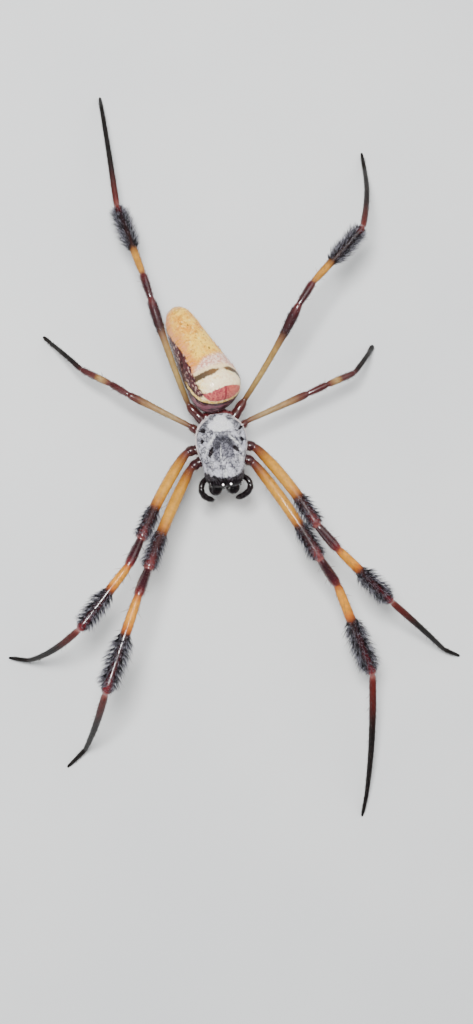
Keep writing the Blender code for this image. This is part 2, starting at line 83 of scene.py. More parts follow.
def set_camera():
    """A camera above the spider, leaning to its right, with the head at the bottom of the view."""
    lean, tip, roll = (math.radians(a) for a in (VIEW_LEAN, VIEW_TIP, VIEW_ROLL))
    back = Vector((-math.sin(lean) * math.cos(tip), -math.sin(tip), math.cos(lean) * math.cos(tip)))
    across = Vector((0, 1, 0)).cross(back).normalized()
    upward = back.cross(across)
    right = across * math.cos(roll) + upward * math.sin(roll)
    top = upward * math.cos(roll) - across * math.sin(roll)
    bpy.ops.object.camera_add()
    camera = bpy.context.object
    target = (cad_low + cad_high) / 2 + VIEW_CENTRE
    turned = Matrix((right, top, back)).transposed().to_4x4()
    camera.matrix_world = Matrix.Translation(target + back * VIEW_DISTANCE) @ turned
    camera.data.lens = VIEW_LENS
    camera.data.clip_start = 0.01
    bpy.context.scene.camera = camera
    print("camera", [round(v, 3) for v in camera.location])


set_camera()


# %% The lights
def soft_light(name, place, size, power, warmth=(1, 1, 1)):
    """A square lamp that faces the middle of the spider."""
    aim = (cad_low + cad_high) / 2 - Vector(place)
    bpy.ops.object.light_add(
        type="AREA", location=place, rotation=aim.to_track_quat("-Z", "Y").to_euler()
    )
    lamp = bpy.context.object
    lamp.name = name
    lamp.data.size, lamp.data.energy, lamp.data.color = size, power, warmth


soft_light("sky_light", (0.25, 0.2, 0.55), 0.6, 2.3, (1, 0.99, 0.97))
soft_light("near_light", (-0.06, 0.06, 0.36), 0.085, 2.25)
soft_light("low_light", (-0.45, -0.35, 0.22), 0.35, 0.7, (0.93, 0.96, 1))
world = bpy.data.worlds.new("pale_room")
world.use_nodes = True
glow = world.node_tree.nodes["Background"].inputs
glow["Color"].default_value, glow["Strength"].default_value = (0.86, 0.9, 0.95, 1), 0.26
bpy.context.scene.world = world


# %% [markdown]
# ## A short way to write materials
# Every finish below is a small network of nodes.
# Writing each node and link out in full would hide the idea, so a helper adds a node, fills its inputs
# with numbers or links, and hands back the output.
# Lengths inside the materials are in millimetres, which is the scale at which a spider is seen.

# %% Colours and node helpers
def tint(code):
    """A colour written as six hex digits, in the linear numbers that a shader reads."""
    parts = [int(code[i : i + 2], 16) / 255 for i in (0, 2, 4)]
    return tuple(p / 12.92 if p <= 0.04045 else ((p + 0.055) / 1.055) ** 2.4 for p in parts) + (1,)


class Bench:
    """A node tree with short calls for what is put on it."""

    def __init__(self, tree):
        self.tree, self.link = tree, tree.links.new

    def add(self, kind, out=0, inputs=None, **settings):
        """A node and what goes into it: links, numbers, or colours as hex digits."""
        node = self.tree.nodes.new("ShaderNode" + kind)
        for key, value in settings.items():
            setattr(node, key, value)
        for key, value in (inputs or {}).items():
            if isinstance(value, bpy.types.NodeSocket):
                self.link(value, node.inputs[key])
            else:
                node.inputs[key].default_value = tint(value) if isinstance(value, str) else value
        return node if out is None else node.outputs[out]

    def sum(self, operation, a, b=0.0, c=0.0):
        return self.add("Math", inputs={0: a, 1: b, 2: c}, operation=operation)

    def times(self, a, b):
        return self.sum("MULTIPLY", a, b)

    def away(self, value, middle):
        """How far a value is from a middle."""
        return self.sum("ABSOLUTE", self.sum("SUBTRACT", value, middle))

    def mix(self, factor, a, b):
        return self.add("Mix", 2, {0: factor, 6: a, 7: b}, data_type="RGBA")

    def lay(self, colour, over, mask, share):
        """A colour laid over another, with a share of a mask's strength."""
        return self.mix(self.times(mask, share), colour, over)

    def edge(self, value, start, end, low=0.0, high=1.0):
        """Goes softly from low to high while value goes from start to end."""
        inputs = {0: value, 1: start, 2: end, 3: low, 4: high}
        return self.add("MapRange", 0, inputs, interpolation_type="SMOOTHSTEP")

    def noise(self, place, scale, detail=3.0, rough=0.5, out=0):
        inputs = {"Vector": place, "Scale": scale, "Detail": detail, "Roughness": rough}
        return self.add("TexNoise", out, inputs)

    def cells(self, place, scale):
        return self.add("TexVoronoi", 0, {"Vector": place, "Scale": scale})

    def ramp(self, value, stops):
        """Colours or greys along a scale, each stop a place and a colour."""
        node = self.add("ValToRGB", None, {0: value})
        bar = node.color_ramp.elements
        bar.remove(bar[1])
        for number, (spot, shade) in enumerate(stops):
            stop = bar.new(spot) if number else bar[0]
            stop.position = spot
            stop.color = tint(shade) if isinstance(shade, str) else (shade, shade, shade, 1)
        return node.outputs[0]

    def told(self, name):
        """A number that each point of the piece was given."""
        return self.add("Attribute", 2, attribute_name=name)

    def split(self, place):
        return self.add("SeparateXYZ", None, {0: place}).outputs

    def stretch(self, place, size, turn=(0, 0, 0)):
        """A place turned and stretched, so that a texture runs in streaks."""
        return self.add("Mapping", 0, {0: place, 2: turn, 3: size})

    def place(self, origin=(0, 0, 0), turn=(0, 0, 0)):
        """The piece's own coordinates in millimetres from an origin, turned with a part."""
        inputs = {0: self.add("TexCoord", "Object"), 1: origin, 2: turn, 3: (MM, MM, MM)}
        return self.add("Mapping", 0, inputs, vector_type="TEXTURE")

    def shaken(self, place, scale, detail, rough, reach):
        """A place moved about by noise, so that marks get ragged edges."""
        shake = self.noise(place, scale, detail, rough, out=1)
        shake = self.add("VectorMath", 0, {0: shake, 1: (0.5, 0.5, 0.5)}, operation="SUBTRACT")
        return self.add("VectorMath", 0, {0: shake, 1: reach, 2: place}, operation="MULTIPLY_ADD")

    def spots(self, place, *marks, mask=None):
        """Oval marks, 1 inside and 0 outside, each a middle, a size, a turn and a softness."""
        for middle, size, turn, soft in marks:
            inputs = {0: place, 1: (*middle, 0), 2: (0, 0, math.radians(turn)), 3: (*size, 1000)}
            oval = self.add("Mapping", 0, inputs, vector_type="TEXTURE")
            away = self.add("VectorMath", 1, {0: oval}, operation="LENGTH")
            spot = self.edge(away, 1 + soft / 2, 1 - soft / 2)
            mask = spot if mask is None else self.sum("MAXIMUM", mask, spot)
        return mask

    def surface(self, colour, height, strength, depth, rough=None):
        """Links a colour, a bump, depth in millimetres, and a roughness; gives the material."""
        inputs = self.shader.inputs
        self.link(colour, inputs["Base Color"])
        if rough is not None:
            self.link(rough, inputs["Roughness"])
        bump = {"Strength": strength, "Distance": depth * MM, "Height": height}
        self.link(self.add("Bump", 0, bump), inputs["Normal"])
        return self.finish

    def hair_surface(self, colour, place):
        return self.surface(colour, self.noise(place, 30, 2), 0.15, 0.004)


# %% Start a material
def new_finish(name, rough, coat=0.0, specular=0.5):
    """A bench for a new material, with the fixed values set on its shader."""
    finish = bpy.data.materials.new(name)
    finish.use_nodes = True
    bench = Bench(finish.node_tree)
    bench.finish, bench.shader = finish, finish.node_tree.nodes["Principled BSDF"]
    fixed = {
        "Roughness": rough, "Coat Weight": coat, "Coat Roughness": 0.08, "Specular IOR Level": specular
    }
    for key, value in fixed.items():
        bench.shader.inputs[key].default_value = value
    return bench


# %% Start a node group
def make_group(name, fill, outputs, inputs=(("Place", "Vector"),)):
    """A node group; fill takes its bench and its inputs, and gives a link for each output."""
    group = bpy.data.node_groups.new(name, "ShaderNodeTree")
    for way, sockets in (("INPUT", inputs), ("OUTPUT", outputs)):
        for title, kind in sockets:
            group.interface.new_socket(title, in_out=way, socket_type="NodeSocket" + kind)
    bench = Bench(group)
    given, result = group.nodes.new("NodeGroupInput"), group.nodes.new("NodeGroupOutput")
    for link, socket in zip(fill(bench, *given.outputs[: len(inputs)]), result.inputs):
        bench.link(link, socket)
    return group


# %% [markdown]
# ## What all shell has in common
# Spider shell is never one flat colour: it is mottled, and it is roughened by fine cross wrinkles and by
# the little sockets that hairs stand in.
# That is the same effect on every part at another size, so it is one node group, placed in each material
# with its own size.

# %% The shell grain group
def fill_grain(bench, place, size):
    """Where on the shell, and how coarse; out come a mottle and a height."""
    spread = bench.sum("DIVIDE", 1.0, size)
    scaled = bench.add("VectorMath", 0, {0: place, "Scale": spread}, operation="SCALE")
    broad, fine = bench.noise(scaled, 0.9, 4, 0.6), bench.noise(scaled, 7, 3, 0.6)
    pits = bench.edge(bench.cells(scaled, 3.2), 0.1, 0.28)
    mottle = bench.sum("ADD", bench.times(broad, 0.75), bench.times(fine, 0.25))
    height = bench.sum("ADD", bench.times(fine, 0.6), bench.times(pits, 0.4))
    return bench.edge(mottle, 0.32, 0.68), height


outputs, inputs = (("Mottle", "Float"), ("Height", "Float")), (("Place", "Vector"), ("Size", "Float"))
shell_grain = make_group("shell_grain", fill_grain, outputs, inputs)


def grain(bench, place, size):
    """The shell grain placed in a material, as its mottle and its height."""
    return bench.add("Group", None, {"Place": place, "Size": size}, node_tree=shell_grain).outputs


# %% The table top
def make_floor():
    """A pale board, much wider than the view, with a rounded edge, just under the feet."""
    clear_selection()
    bpy.ops.mesh.primitive_cube_add(size=1, location=(0, 0, -0.01))
    board = bpy.context.object
    board.name = "table_top"
    open_mesh(board)
    bpy.ops.transform.resize(value=(3, 3, 0.02), center_override=(0, 0, -0.01))
    bpy.ops.mesh.bevel(offset=0.002, segments=2)
    bpy.ops.object.mode_set(mode="OBJECT")
    bpy.ops.object.transform_apply(location=True, rotation=True, scale=True)
    bench = new_finish("pale_board", rough=0.7)
    place = bench.place()
    colour = bench.mix(bench.edge(bench.noise(place, 0.02, 4), 0.3, 0.7), "D3D5D6", "DBDCDB")
    board.data.materials.append(bench.surface(colour, bench.noise(place, 0.8, 2), 0.08, 0.05))


# %% [markdown]
# ## Hands on the bench
# These are the few moves that every piece needs: put everything down, pick one piece up, round it with a
# subdivision, and read the corners of a plain solid.

# %% Selection and reading
def clear_selection():
    """Nothing is selected and nothing is being edited."""
    if bpy.context.mode != "OBJECT":
        bpy.ops.object.mode_set(mode="OBJECT")
    bpy.ops.object.select_all(action="DESELECT")


def pick(piece):
    """Only this piece is selected and active."""
    clear_selection()
    piece.select_set(True)
    bpy.context.view_layer.objects.active = piece


def open_mesh(piece):
    """Edit Mode on a piece, with all of it selected."""
    pick(piece)
    bpy.ops.object.mode_set(mode="EDIT")
    bpy.ops.mesh.select_all(action="SELECT")


def close_mesh():
    """Faces turned outward, and back to Object Mode."""
    bpy.ops.mesh.select_all(action="SELECT")
    bpy.ops.mesh.normals_make_consistent(inside=False)
    bpy.ops.object.mode_set(mode="OBJECT")


def new_piece(name, mesh):
    """A piece that shows a mesh, at the world's origin."""
    piece = bpy.data.objects.new(name, mesh)
    bpy.context.scene.collection.objects.link(piece)
    return piece


def room_of(node):
    """The box of a frame solid: its low corner, its high corner, its middle and half its size."""
    low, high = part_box(node)
    return low, high, (low + high) / 2, (high - low) / 2


def corners(node):
    """The corners of a frame solid, each once, in metres."""
    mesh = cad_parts[node].data
    flat = np.empty(len(mesh.vertices) * 3, np.float32)
    mesh.vertices.foreach_get("co", flat)
    return np.unique(np.round(flat.reshape(-1, 3).astype(float), 7), axis=0)


def read_points(piece):
    """The places of a piece's points."""
    flat = np.empty(len(piece.data.vertices) * 3)
    piece.data.vertices.foreach_get("co", flat)
    return flat.reshape(-1, 3)


def write_points(piece, points):
    piece.data.vertices.foreach_set("co", points.ravel())
    piece.data.update()


def give_value(piece, name, values):
    """A named number on each point, for the materials."""
    piece.data.attributes.new(name, "FLOAT", "POINT").data.foreach_set(
        "value", np.asarray(values, np.float32)
    )


# %% Rounding and finishing
def round_off(piece, levels):
    """A subdivision surface, applied."""
    pick(piece)
    rounding = piece.modifiers.new("rounding", "SUBSURF")
    rounding.levels = rounding.render_levels = levels
    bpy.ops.object.modifier_apply(modifier=rounding.name)
    bpy.ops.object.shade_smooth()


def put_on(piece, finish, slot, *nodes):
    """The last move on each piece: its finish, its body, and the solids it stands for."""
    piece.data.materials.clear()
    piece.data.materials.append(finish)
    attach(piece, "root")
    if nodes:
        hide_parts(*nodes)


make_floor()

# %% [markdown]
# ## The way each leg runs
# A spider's leg is a jointed tube: hip and trochanter, thigh, knee piece, shin, and a long foot.
# The frame holds it as five plain solids made of rings, so the middle of each ring, walked from the hip
# outward, gives the line that the leg follows, and the size of each ring gives the room there is.
# The line is then eased, because a joint is a short soft bend and not a corner.

# %% Walk the rings of a solid
RING_CORNERS = 10


def walk_rings(node, near):
    """The middle and the size of each ring of a solid, from the end nearer to a point."""
    points = corners(node)
    middle = points.mean(0)
    axis = np.linalg.svd(points - middle, full_matrices=False)[2][0]
    if (middle - near) @ axis < 0:
        axis = -axis
    points = points[np.argsort(points @ axis)]
    middles, sizes = [], []
    while len(points) >= RING_CORNERS:
        ring, points = points[:RING_CORNERS], points[RING_CORNERS:]
        middles.append(ring.mean(0))
        sizes.append(np.linalg.norm(ring - middles[-1], axis=1).mean())
        points = points[np.argsort(np.linalg.norm(points - middles[-1], axis=1))]
    return middles, sizes


# %% Lay the line of a tube
STEP = 0.1 * MM
EASE_STEPS = 4


def lay_line(nodes, near):
    """The eased line through a row of solids, with the room and the joints along it."""
    middles, sizes, ends = [], [], [0]
    for node in nodes:
        found, room = walk_rings(node, near)
        near = found[-1]
        middles += found
        sizes += room
        ends.append(len(middles))
    middles = np.array(middles)
    reach = np.r_[0, np.cumsum(np.linalg.norm(np.diff(middles, axis=0), axis=1))]
    joints = [0] + [(reach[e - 1] + reach[e]) / 2 for e in ends[1:-1]] + [reach[-1]]
    steps = np.arange(0, reach[-1], STEP)
    line = np.stack([np.interp(steps, reach, middles[:, k]) for k in range(3)], axis=1)
    before = line[0] - (line[1] - line[0]) * np.arange(EASE_STEPS, 0, -1)[:, None]
    after = line[-1] + (line[-1] - line[-2]) * np.arange(1, EASE_STEPS + 1)[:, None]
    padded = np.vstack([before, line, after])
    width = 2 * EASE_STEPS + 1
    eased = np.stack(
        [np.convolve(padded[:, k], np.ones(width) / width, "valid") for k in range(3)], axis=1
    )
    along = np.r_[0, np.cumsum(np.linalg.norm(np.diff(eased, axis=0), axis=1))]
    joints = [float(along[min(int(round(j / STEP)), len(along) - 1)]) for j in joints]
    room = np.interp(steps, reach, sizes)
    return {"points": eased, "along": along, "joints": joints, "room": room}


# %% Lay all eight legs
SEGMENTS = ("coxa", "femur", "patella", "tibia", "foot")
JOINT_NUMBERS = range(len(SEGMENTS) + 1)
LEGS = [side + str(pair) for side in "lr" for pair in (1, 2, 3, 4)]
carapace_low, carapace_high, carapace_middle, _ = room_of("carapace")
body_middle = np.array(carapace_middle)
leg_lines = {}
for leg in LEGS:
    leg_lines[leg] = lay_line([f"{segment}_{leg}" for segment in SEGMENTS], body_middle)

# %% [markdown]
# ## Thickness of the bare leg
# Under the brushes of hair the shell is a smooth tube that pinches at each joint and swells just before
# it, where the hinge knobs are.
# The room in the frame includes the hair, so each segment also has a thickness of its own that the shell
# never passes.

# %% The shell's thickness
SHELL_LIMIT = {
    "1": {"coxa": 0.88, "femur": 0.8, "patella": 0.8, "tibia": 0.71, "foot": 0.5},
    "2": {"coxa": 0.88, "femur": 0.79, "patella": 0.76, "tibia": 0.68, "foot": 0.48},
    "3": {"coxa": 0.66, "femur": 0.58, "patella": 0.53, "tibia": 0.52, "foot": 0.38},
    "4": {"coxa": 0.88, "femur": 0.74, "patella": 0.62, "tibia": 0.57, "foot": 0.46},
}
SHELL_SHAPE = {
    "coxa": (
        (0, 0.9), (0.3, 1.0), (0.52, 0.98), (0.6, 0.82), (0.68, 0.98), (0.82, 1.04), (0.94, 0.94),
        (1, 0.74)
    ),
    "femur": (
        (0, 0.8), (0.02, 0.93), (0.05, 1.0), (0.25, 1.0), (0.45, 1.0), (0.65, 0.98), (0.85, 1.0),
        (0.92, 1.02), (0.965, 1.05), (0.985, 0.97), (1, 0.8)
    ),
    "patella": (
        (0, 0.8), (0.05, 0.9), (0.14, 0.94), (0.4, 0.98), (0.7, 1.02), (0.86, 1.04), (0.95, 0.96),
        (1, 0.8)
    ),
    "tibia": (
        (0, 0.8), (0.02, 0.9), (0.06, 0.98), (0.25, 1.0), (0.5, 1.0), (0.75, 1.0), (0.9, 1.02),
        (0.96, 1.06), (0.985, 0.97), (1, 0.74)
    ),
    "foot": (
        (0, 0.74), (0.015, 0.92), (0.05, 1.0), (0.2, 1.0), (0.4, 1.0), (0.6, 1.0), (0.8, 1.0),
        (0.825, 0.9), (0.845, 1.0), (0.93, 0.96), (0.98, 0.86), (1, 0.62)
    ),
}
COAT_DEPTH = 0.03


def shell_size(leg, along):
    """The radius of the bare shell, in metres, at places along a leg."""
    line = leg_lines[leg]
    place = np.interp(along, line["joints"], JOINT_NUMBERS)
    part = np.minimum(place.astype(int), len(SEGMENTS) - 1)
    room = np.interp(along, line["along"], line["room"]) / MM - COAT_DEPTH
    size = np.empty_like(room)
    for i, segment in enumerate(SEGMENTS):
        here = part == i
        shape = np.array(SHELL_SHAPE[segment])
        size[here] = np.minimum(room[here], SHELL_LIMIT[leg[1]][segment]) * np.interp(
            place[here] - i, shape[:, 0], shape[:, 1]
        )
    return size * MM


# %% [markdown]
# ## Modelling a leg
# A leg could be drawn in place, but its rings would have to be turned one by one.
# It is quicker to lay it out straight on the bench, one filled circle extruded from station to station
# and resized at each, and then to bend it along its line with a Curve modifier.
# While it is straight, each point is told how far down the leg it sits, and that number later paints the
# bands.

# %% A straight tube by extrusion
def straight_tube(name, stations, sides=16):
    """A closed tube along X, from pairs of place and radius."""
    clear_selection()
    (x, size), others = stations[0], stations[1:]
    bpy.ops.mesh.primitive_circle_add(
        vertices=sides, radius=size, fill_type="NGON", location=(x, 0, 0), rotation=(0, math.pi / 2, 0)
    )
    piece = bpy.context.object
    piece.name = name
    open_mesh(piece)
    for next_x, next_size in others:
        bpy.ops.mesh.extrude_region_move(TRANSFORM_OT_translate={"value": (next_x - x, 0, 0)})
        bpy.ops.transform.resize(
            value=(1, next_size / size, next_size / size), center_override=(next_x, 0, 0)
        )
        x, size = next_x, next_size
    close_mesh()
    bpy.ops.object.transform_apply(location=True, rotation=True, scale=True)
    return piece


# %% Bending along a line
def bend_along(piece, points):
    """Carries a piece laid out along X on to a line of points, with a Curve modifier."""
    drawn = bpy.data.curves.new("line", "CURVE")
    drawn.dimensions = "3D"
    path = drawn.splines.new("POLY")
    path.points.add(len(points) - 1)
    path.points.foreach_set("co", np.c_[points, np.ones(len(points))].ravel())
    holder = new_piece("line", drawn)
    pick(piece)
    bending = piece.modifiers.new("bending", "CURVE")
    bending.object = holder
    bpy.ops.object.modifier_apply(modifier=bending.name)
    bpy.data.objects.remove(holder)
    bpy.data.curves.remove(drawn)


# %% [markdown]
# ## The colours of the legs
# The first two pairs are banded: wine red hips, golden thighs that turn black under the brush, wine red
# knees, a golden ring and a black brush on the shin, and feet that go from red to black.
# The third pair is plain olive brown, and the fourth has olive thighs and one brush.
# A colour ramp along the leg holds each pair's bands, and a little noise keeps their edges from looking
# ruled.
# The dark shell is polished, the golden shell is silkier and the feet are dull, so the gloss has its own
# bands.

# %% Bands along the legs
# The thin pale pink rings at 1.997 and 3.995, at the knee and at the end of the shin, are painted highlights
# of the joints.
FRONT_BANDS = (
    (0.0, "240C12"), (0.97, "38141A"), (1.02, "5A2C26"), (1.09, "804A26"), (1.17, "AE7424"),
    (1.26, "C48A2C"), (1.5, "C88E30"), (1.61, "B07028"), (1.66, "6C3A1C"), (1.7, "301515"),
    (1.84, "321216"), (1.975, "6E2C2E"), (1.997, "8A5450"), (2.02, "3E1218"), (2.2, "2A0C12"),
    (2.7, "38101A"), (2.9, "5E2024"), (2.985, "7A342A"), (3.03, "B06424"), (3.07, "D08A28"),
    (3.26, "D88E28"), (3.345, "B4601E"), (3.39, "6A3420"), (3.43, "221014"), (3.88, "4A0E18"),
    (3.965, "6A1C24"), (3.995, "9C625C"), (4.03, "5A1814"), (4.2, "481210"), (4.31, "200C0B"),
    (4.4, "0A0707"), (5.0, "070505"),
)
THIRD_BANDS = (
    (0.0, "2C1014"), (0.7, "42191C"), (1.0, "4E2420"), (1.08, "785A40"), (1.3, "9C8258"), (1.7, "8E6C46"),
    (1.86, "5E362C"), (1.975, "4A1C1C"), (2.1, "54282A"), (2.5, "4A1C1E"), (2.95, "42181A"),
    (3.06, "5A2A26"), (3.17, "8C6844"), (3.3, "B0905C"), (3.42, "966E3E"), (3.52, "5A2C2A"),
    (3.9, "482022"), (3.985, "4C1A1C"), (4.07, "201012"), (4.22, "0C0A0B"), (5.0, "070505"),
)
# The paler rings at 1.985 and 3.99, at the knee and at the end of the shin, are painted highlights of the
# joints.
REAR_BANDS = (
    (0.0, "240C10"), (0.5, "3E1518"), (0.9, "4C1E1C"), (1.0, "4A221C"), (1.06, "7A5C38"),
    (1.25, "A28650"), (1.55, "987844"), (1.66, "6E4E38"), (1.73, "341A1C"), (1.9, "38141A"),
    (1.985, "5C2A2A"), (2.02, "3A1218"), (2.5, "300E16"), (2.93, "501C20"), (2.99, "7C4A30"),
    (3.05, "B88030"), (3.26, "BE8430"), (3.33, "84562C"), (3.385, "2A1412"), (3.86, "1A0C12"),
    (3.92, "4C141A"), (3.99, "74342E"), (4.05, "521815"), (4.2, "3C1210"), (4.3, "1C0C0C"),
    (4.4, "0B0808"), (5.0, "070505"),
)
GLOSS_BANDS = (
    (0.0, "FFFFFF"), (1.03, "D0D0D0"), (1.12, "989898"), (1.61, "989898"), (1.68, "484848"),
    (1.93, "484848"), (1.97, "FFFFFF"), (2.97, "FFFFFF"), (3.05, "6A6A6A"), (3.36, "6A6A6A"),
    (3.42, "FFFFFF"), (3.99, "FFFFFF"), (4.04, "404040"), (4.4, "101010"), (5.0, "101010"),
)


# %% Leg shell material
def make_leg_finish(name, bands):
    """Glossy shell, with bands that follow how far down the leg each point is."""
    bench = new_finish(name, rough=0.3, coat=0.5, specular=0.2)
    place = bench.place()
    mottle, height = grain(bench, place, 0.5)
    along = bench.told("along")
    wobble = bench.times(bench.sum("SUBTRACT", bench.noise(place, 2.2, 3), 0.5), 0.05)
    spot = bench.times(bench.sum("ADD", along, wobble), 1 / len(SEGMENTS))
    colour = bench.ramp(spot, [(stop / len(SEGMENTS), code) for stop, code in bands])
    colour = bench.lay(colour, "1E0F0C", mottle, 0.3)
    speck = bench.edge(bench.cells(place, 4.5), 0.12, 0.05)
    colour = bench.lay(colour, "2A150E", speck, 0.5)
    gloss = bench.ramp(spot, [(stop / len(SEGMENTS), grey) for stop, grey in GLOSS_BANDS])
    bench.link(bench.times(gloss, 0.9), bench.shader.inputs["Coat Weight"])
    rough = bench.sum("MULTIPLY_ADD", gloss, -0.24, bench.edge(mottle, 0.0, 1.0, 0.46, 0.58))
    return bench.surface(colour, height, 0.3, 0.03, rough)


front_shell = make_leg_finish("front_leg_shell", FRONT_BANDS)
third_shell = make_leg_finish("third_leg_shell", THIRD_BANDS)
rear_shell = make_leg_finish("rear_leg_shell", REAR_BANDS)
leg_finishes = {"1": front_shell, "2": front_shell, "3": third_shell, "4": rear_shell}


# %% Model the eight legs
def make_leg(leg):
    """One skin from hip to claw: extruded, rounded, bent along its line and cut flat below."""
    line = leg_lines[leg]
    joints = line["joints"]
    stops = []
    for segment, start, end in zip(SEGMENTS, joints, joints[1:]):
        stops = stops[:-1] + [start + (end - start) * share for share, _ in SHELL_SHAPE[segment]]
    stations = list(zip(stops, shell_size(leg, np.array(stops))))
    skin = straight_tube("leg_" + leg, stations)
    round_off(skin, 1)
    give_value(skin, "along", np.interp(read_points(skin)[:, 0], joints, JOINT_NUMBERS))
    bend_along(skin, line["points"])
    open_mesh(skin)
    floor = {"plane_co": (0, 0, 0), "plane_no": (0, 0, 1), "threshold": 1e-7}
    bpy.ops.mesh.bisect(use_fill=True, clear_inner=True, **floor)
    bpy.ops.object.mode_set(mode="OBJECT")
    bpy.ops.object.shade_smooth()
    slot = "yellow_shell" if leg[1] in "12" else "olive_shell"
    put_on(skin, leg_finishes[leg[1]], slot, *[f"{segment}_{leg}" for segment in SEGMENTS])
    return skin


leg_skins = {leg: make_leg(leg) for leg in LEGS}
print("leg skins", sum(len(s.data.polygons) for s in leg_skins.values()), "faces")

# %% [markdown]
# ## Claws
# Each foot ends in three tiny claws, two combed and one plain, with which the spider handles its silk.
# One claw is a thin tapered hook, drawn by extruding and turning a small circle, and each foot gets
# copies of it.

# %% One claw, modelled once
CLAW_BASE, CLAW_LENGTH, CLAW_SIZE = 0.02 * MM, 0.42 * MM, 0.045 * MM
CLAW_STEPS, CLAW_TURN, CLAW_TAPER = 5, math.radians(16), 0.78


def make_claw():
    """A hook along X that curves down as it thins."""
    claw = straight_tube("claw", [(0, CLAW_SIZE), (CLAW_BASE, CLAW_SIZE)], sides=8)
    open_mesh(claw)
    bpy.ops.mesh.select_all(action="DESELECT")
    bpy.ops.object.mode_set(mode="OBJECT")
    for face in claw.data.polygons:
        face.select = face.normal.x > 0.9
    bpy.ops.object.mode_set(mode="EDIT")
    tip, heading = Vector((CLAW_BASE, 0, 0)), 0.0
    for _ in range(CLAW_STEPS):
        move = Vector((math.cos(heading), 0, -math.sin(heading))) * CLAW_LENGTH / CLAW_STEPS
        tip = tip + move
        bpy.ops.mesh.extrude_region_move(TRANSFORM_OT_translate={"value": move})
        bpy.ops.transform.resize(value=(CLAW_TAPER, CLAW_TAPER, CLAW_TAPER), center_override=tip)
        bpy.ops.transform.rotate(value=-CLAW_TURN, orient_axis="Y", center_override=tip)
        heading += CLAW_TURN
    bpy.ops.object.mode_set(mode="OBJECT")
    round_off(claw, 1)
    return claw


# %% Set the claws on the feet
CLAW_FLOOR = 0.01 * MM
CLAW_SPOTS = ((0.09, 0.0, 1.0), (-0.09, 0.0, 1.0), (0.0, -0.1, 0.62))


def set_claws(pattern, finish):
    """Two claws side by side and one under them, as one piece at the end of each foot."""
    for leg in LEGS:
        points = leg_lines[leg]["points"]
        ahead = Vector(points[-1] - points[-12]).normalized()
        side = ahead.cross(Vector((0, 0, 1))).normalized()
        over = side.cross(ahead)
        root = Vector(points[-5]) + over * 0.1 * MM
        turn = np.array(Matrix((ahead, side, over)))
        parts = []
        for spread, lift, size in CLAW_SPOTS:
            start = root + side * spread * MM + over * lift * MM
            parts.append((read_points(pattern) * size) @ turn + np.array(start))
        claws = new_piece("claws_" + leg, pattern.data.copy())
        open_mesh(claws)
        bpy.ops.mesh.duplicate()
        bpy.ops.mesh.duplicate()
        bpy.ops.object.mode_set(mode="OBJECT")
        points = np.vstack(parts)
        points[:, 2] = np.maximum(points[:, 2], CLAW_FLOOR)
        write_points(claws, points)
        put_on(claws, finish, "foot_shell")


# %% Claw material
def make_horn_finish():
    """Dark horn, mottled paler in places."""
    bench = new_finish("claw_horn", rough=0.25, coat=0.3)
    place = bench.place()
    mottle, height = grain(bench, place, 0.15)
    return bench.surface(bench.mix(mottle, "1B0E0B", "3A2018"), height, 0.2, 0.01)


horn = make_horn_finish()
claw_pattern = make_claw()
set_claws(claw_pattern, horn)
bpy.data.objects.remove(claw_pattern)
print("claws on", len(LEGS), "feet")

# %% [markdown]
# ## How a coat of hair is made
# Hair is solid here: each one is a thin three sided spike in two lengths, and thousands are joined in one
# mesh straight from arrays, since no hand could place them.
# A hair is told where its root is, which way is out, which way the coat lies, and how much it stands up
# and bends back.
# Each hair also gets its own small patch on a map that is an unrolling of the skin it grows on, so that
# its colours can be painted on an image later.

# %% Grow hairs from arrays
HAIR_SIDES = 3
HAIR_RINGS = ((0.0, 1.0), (0.5, 0.8))
ROOT_DEPTH = 0.02 * MM
TOP_ROOM = 0.25 * MM
PATCH = 0.003
luck = np.random.default_rng(7)


def unit(vectors):
    return vectors / np.maximum(np.linalg.norm(vectors, axis=-1, keepdims=True), 1e-12)


def hair_pattern():
    """Faces of one hair as point numbers, with each corner's place in its patch."""
    faces, patch = [(0, 2, 1)], [((0.05, 0), (0.95, 0), (0.5, 0.09))]
    for k in range(HAIR_SIDES):
        n = (k + 1) % HAIR_SIDES
        left, right = (k + 0.04) / HAIR_SIDES, (k + 0.96) / HAIR_SIDES
        faces += [(k, n, HAIR_SIDES + n), (k, HAIR_SIDES + n, HAIR_SIDES + k)]
        faces += [(HAIR_SIDES + k, HAIR_SIDES + n, 2 * HAIR_SIDES)]
        patch += [((left, 0.1), (right, 0.1), (right, 0.55)), ((left, 0.1), (right, 0.55), (left, 0.55))]
        patch += [((left, 0.55), (right, 0.55), ((left + right) / 2, 1))]
    return np.array(faces), np.array(patch)


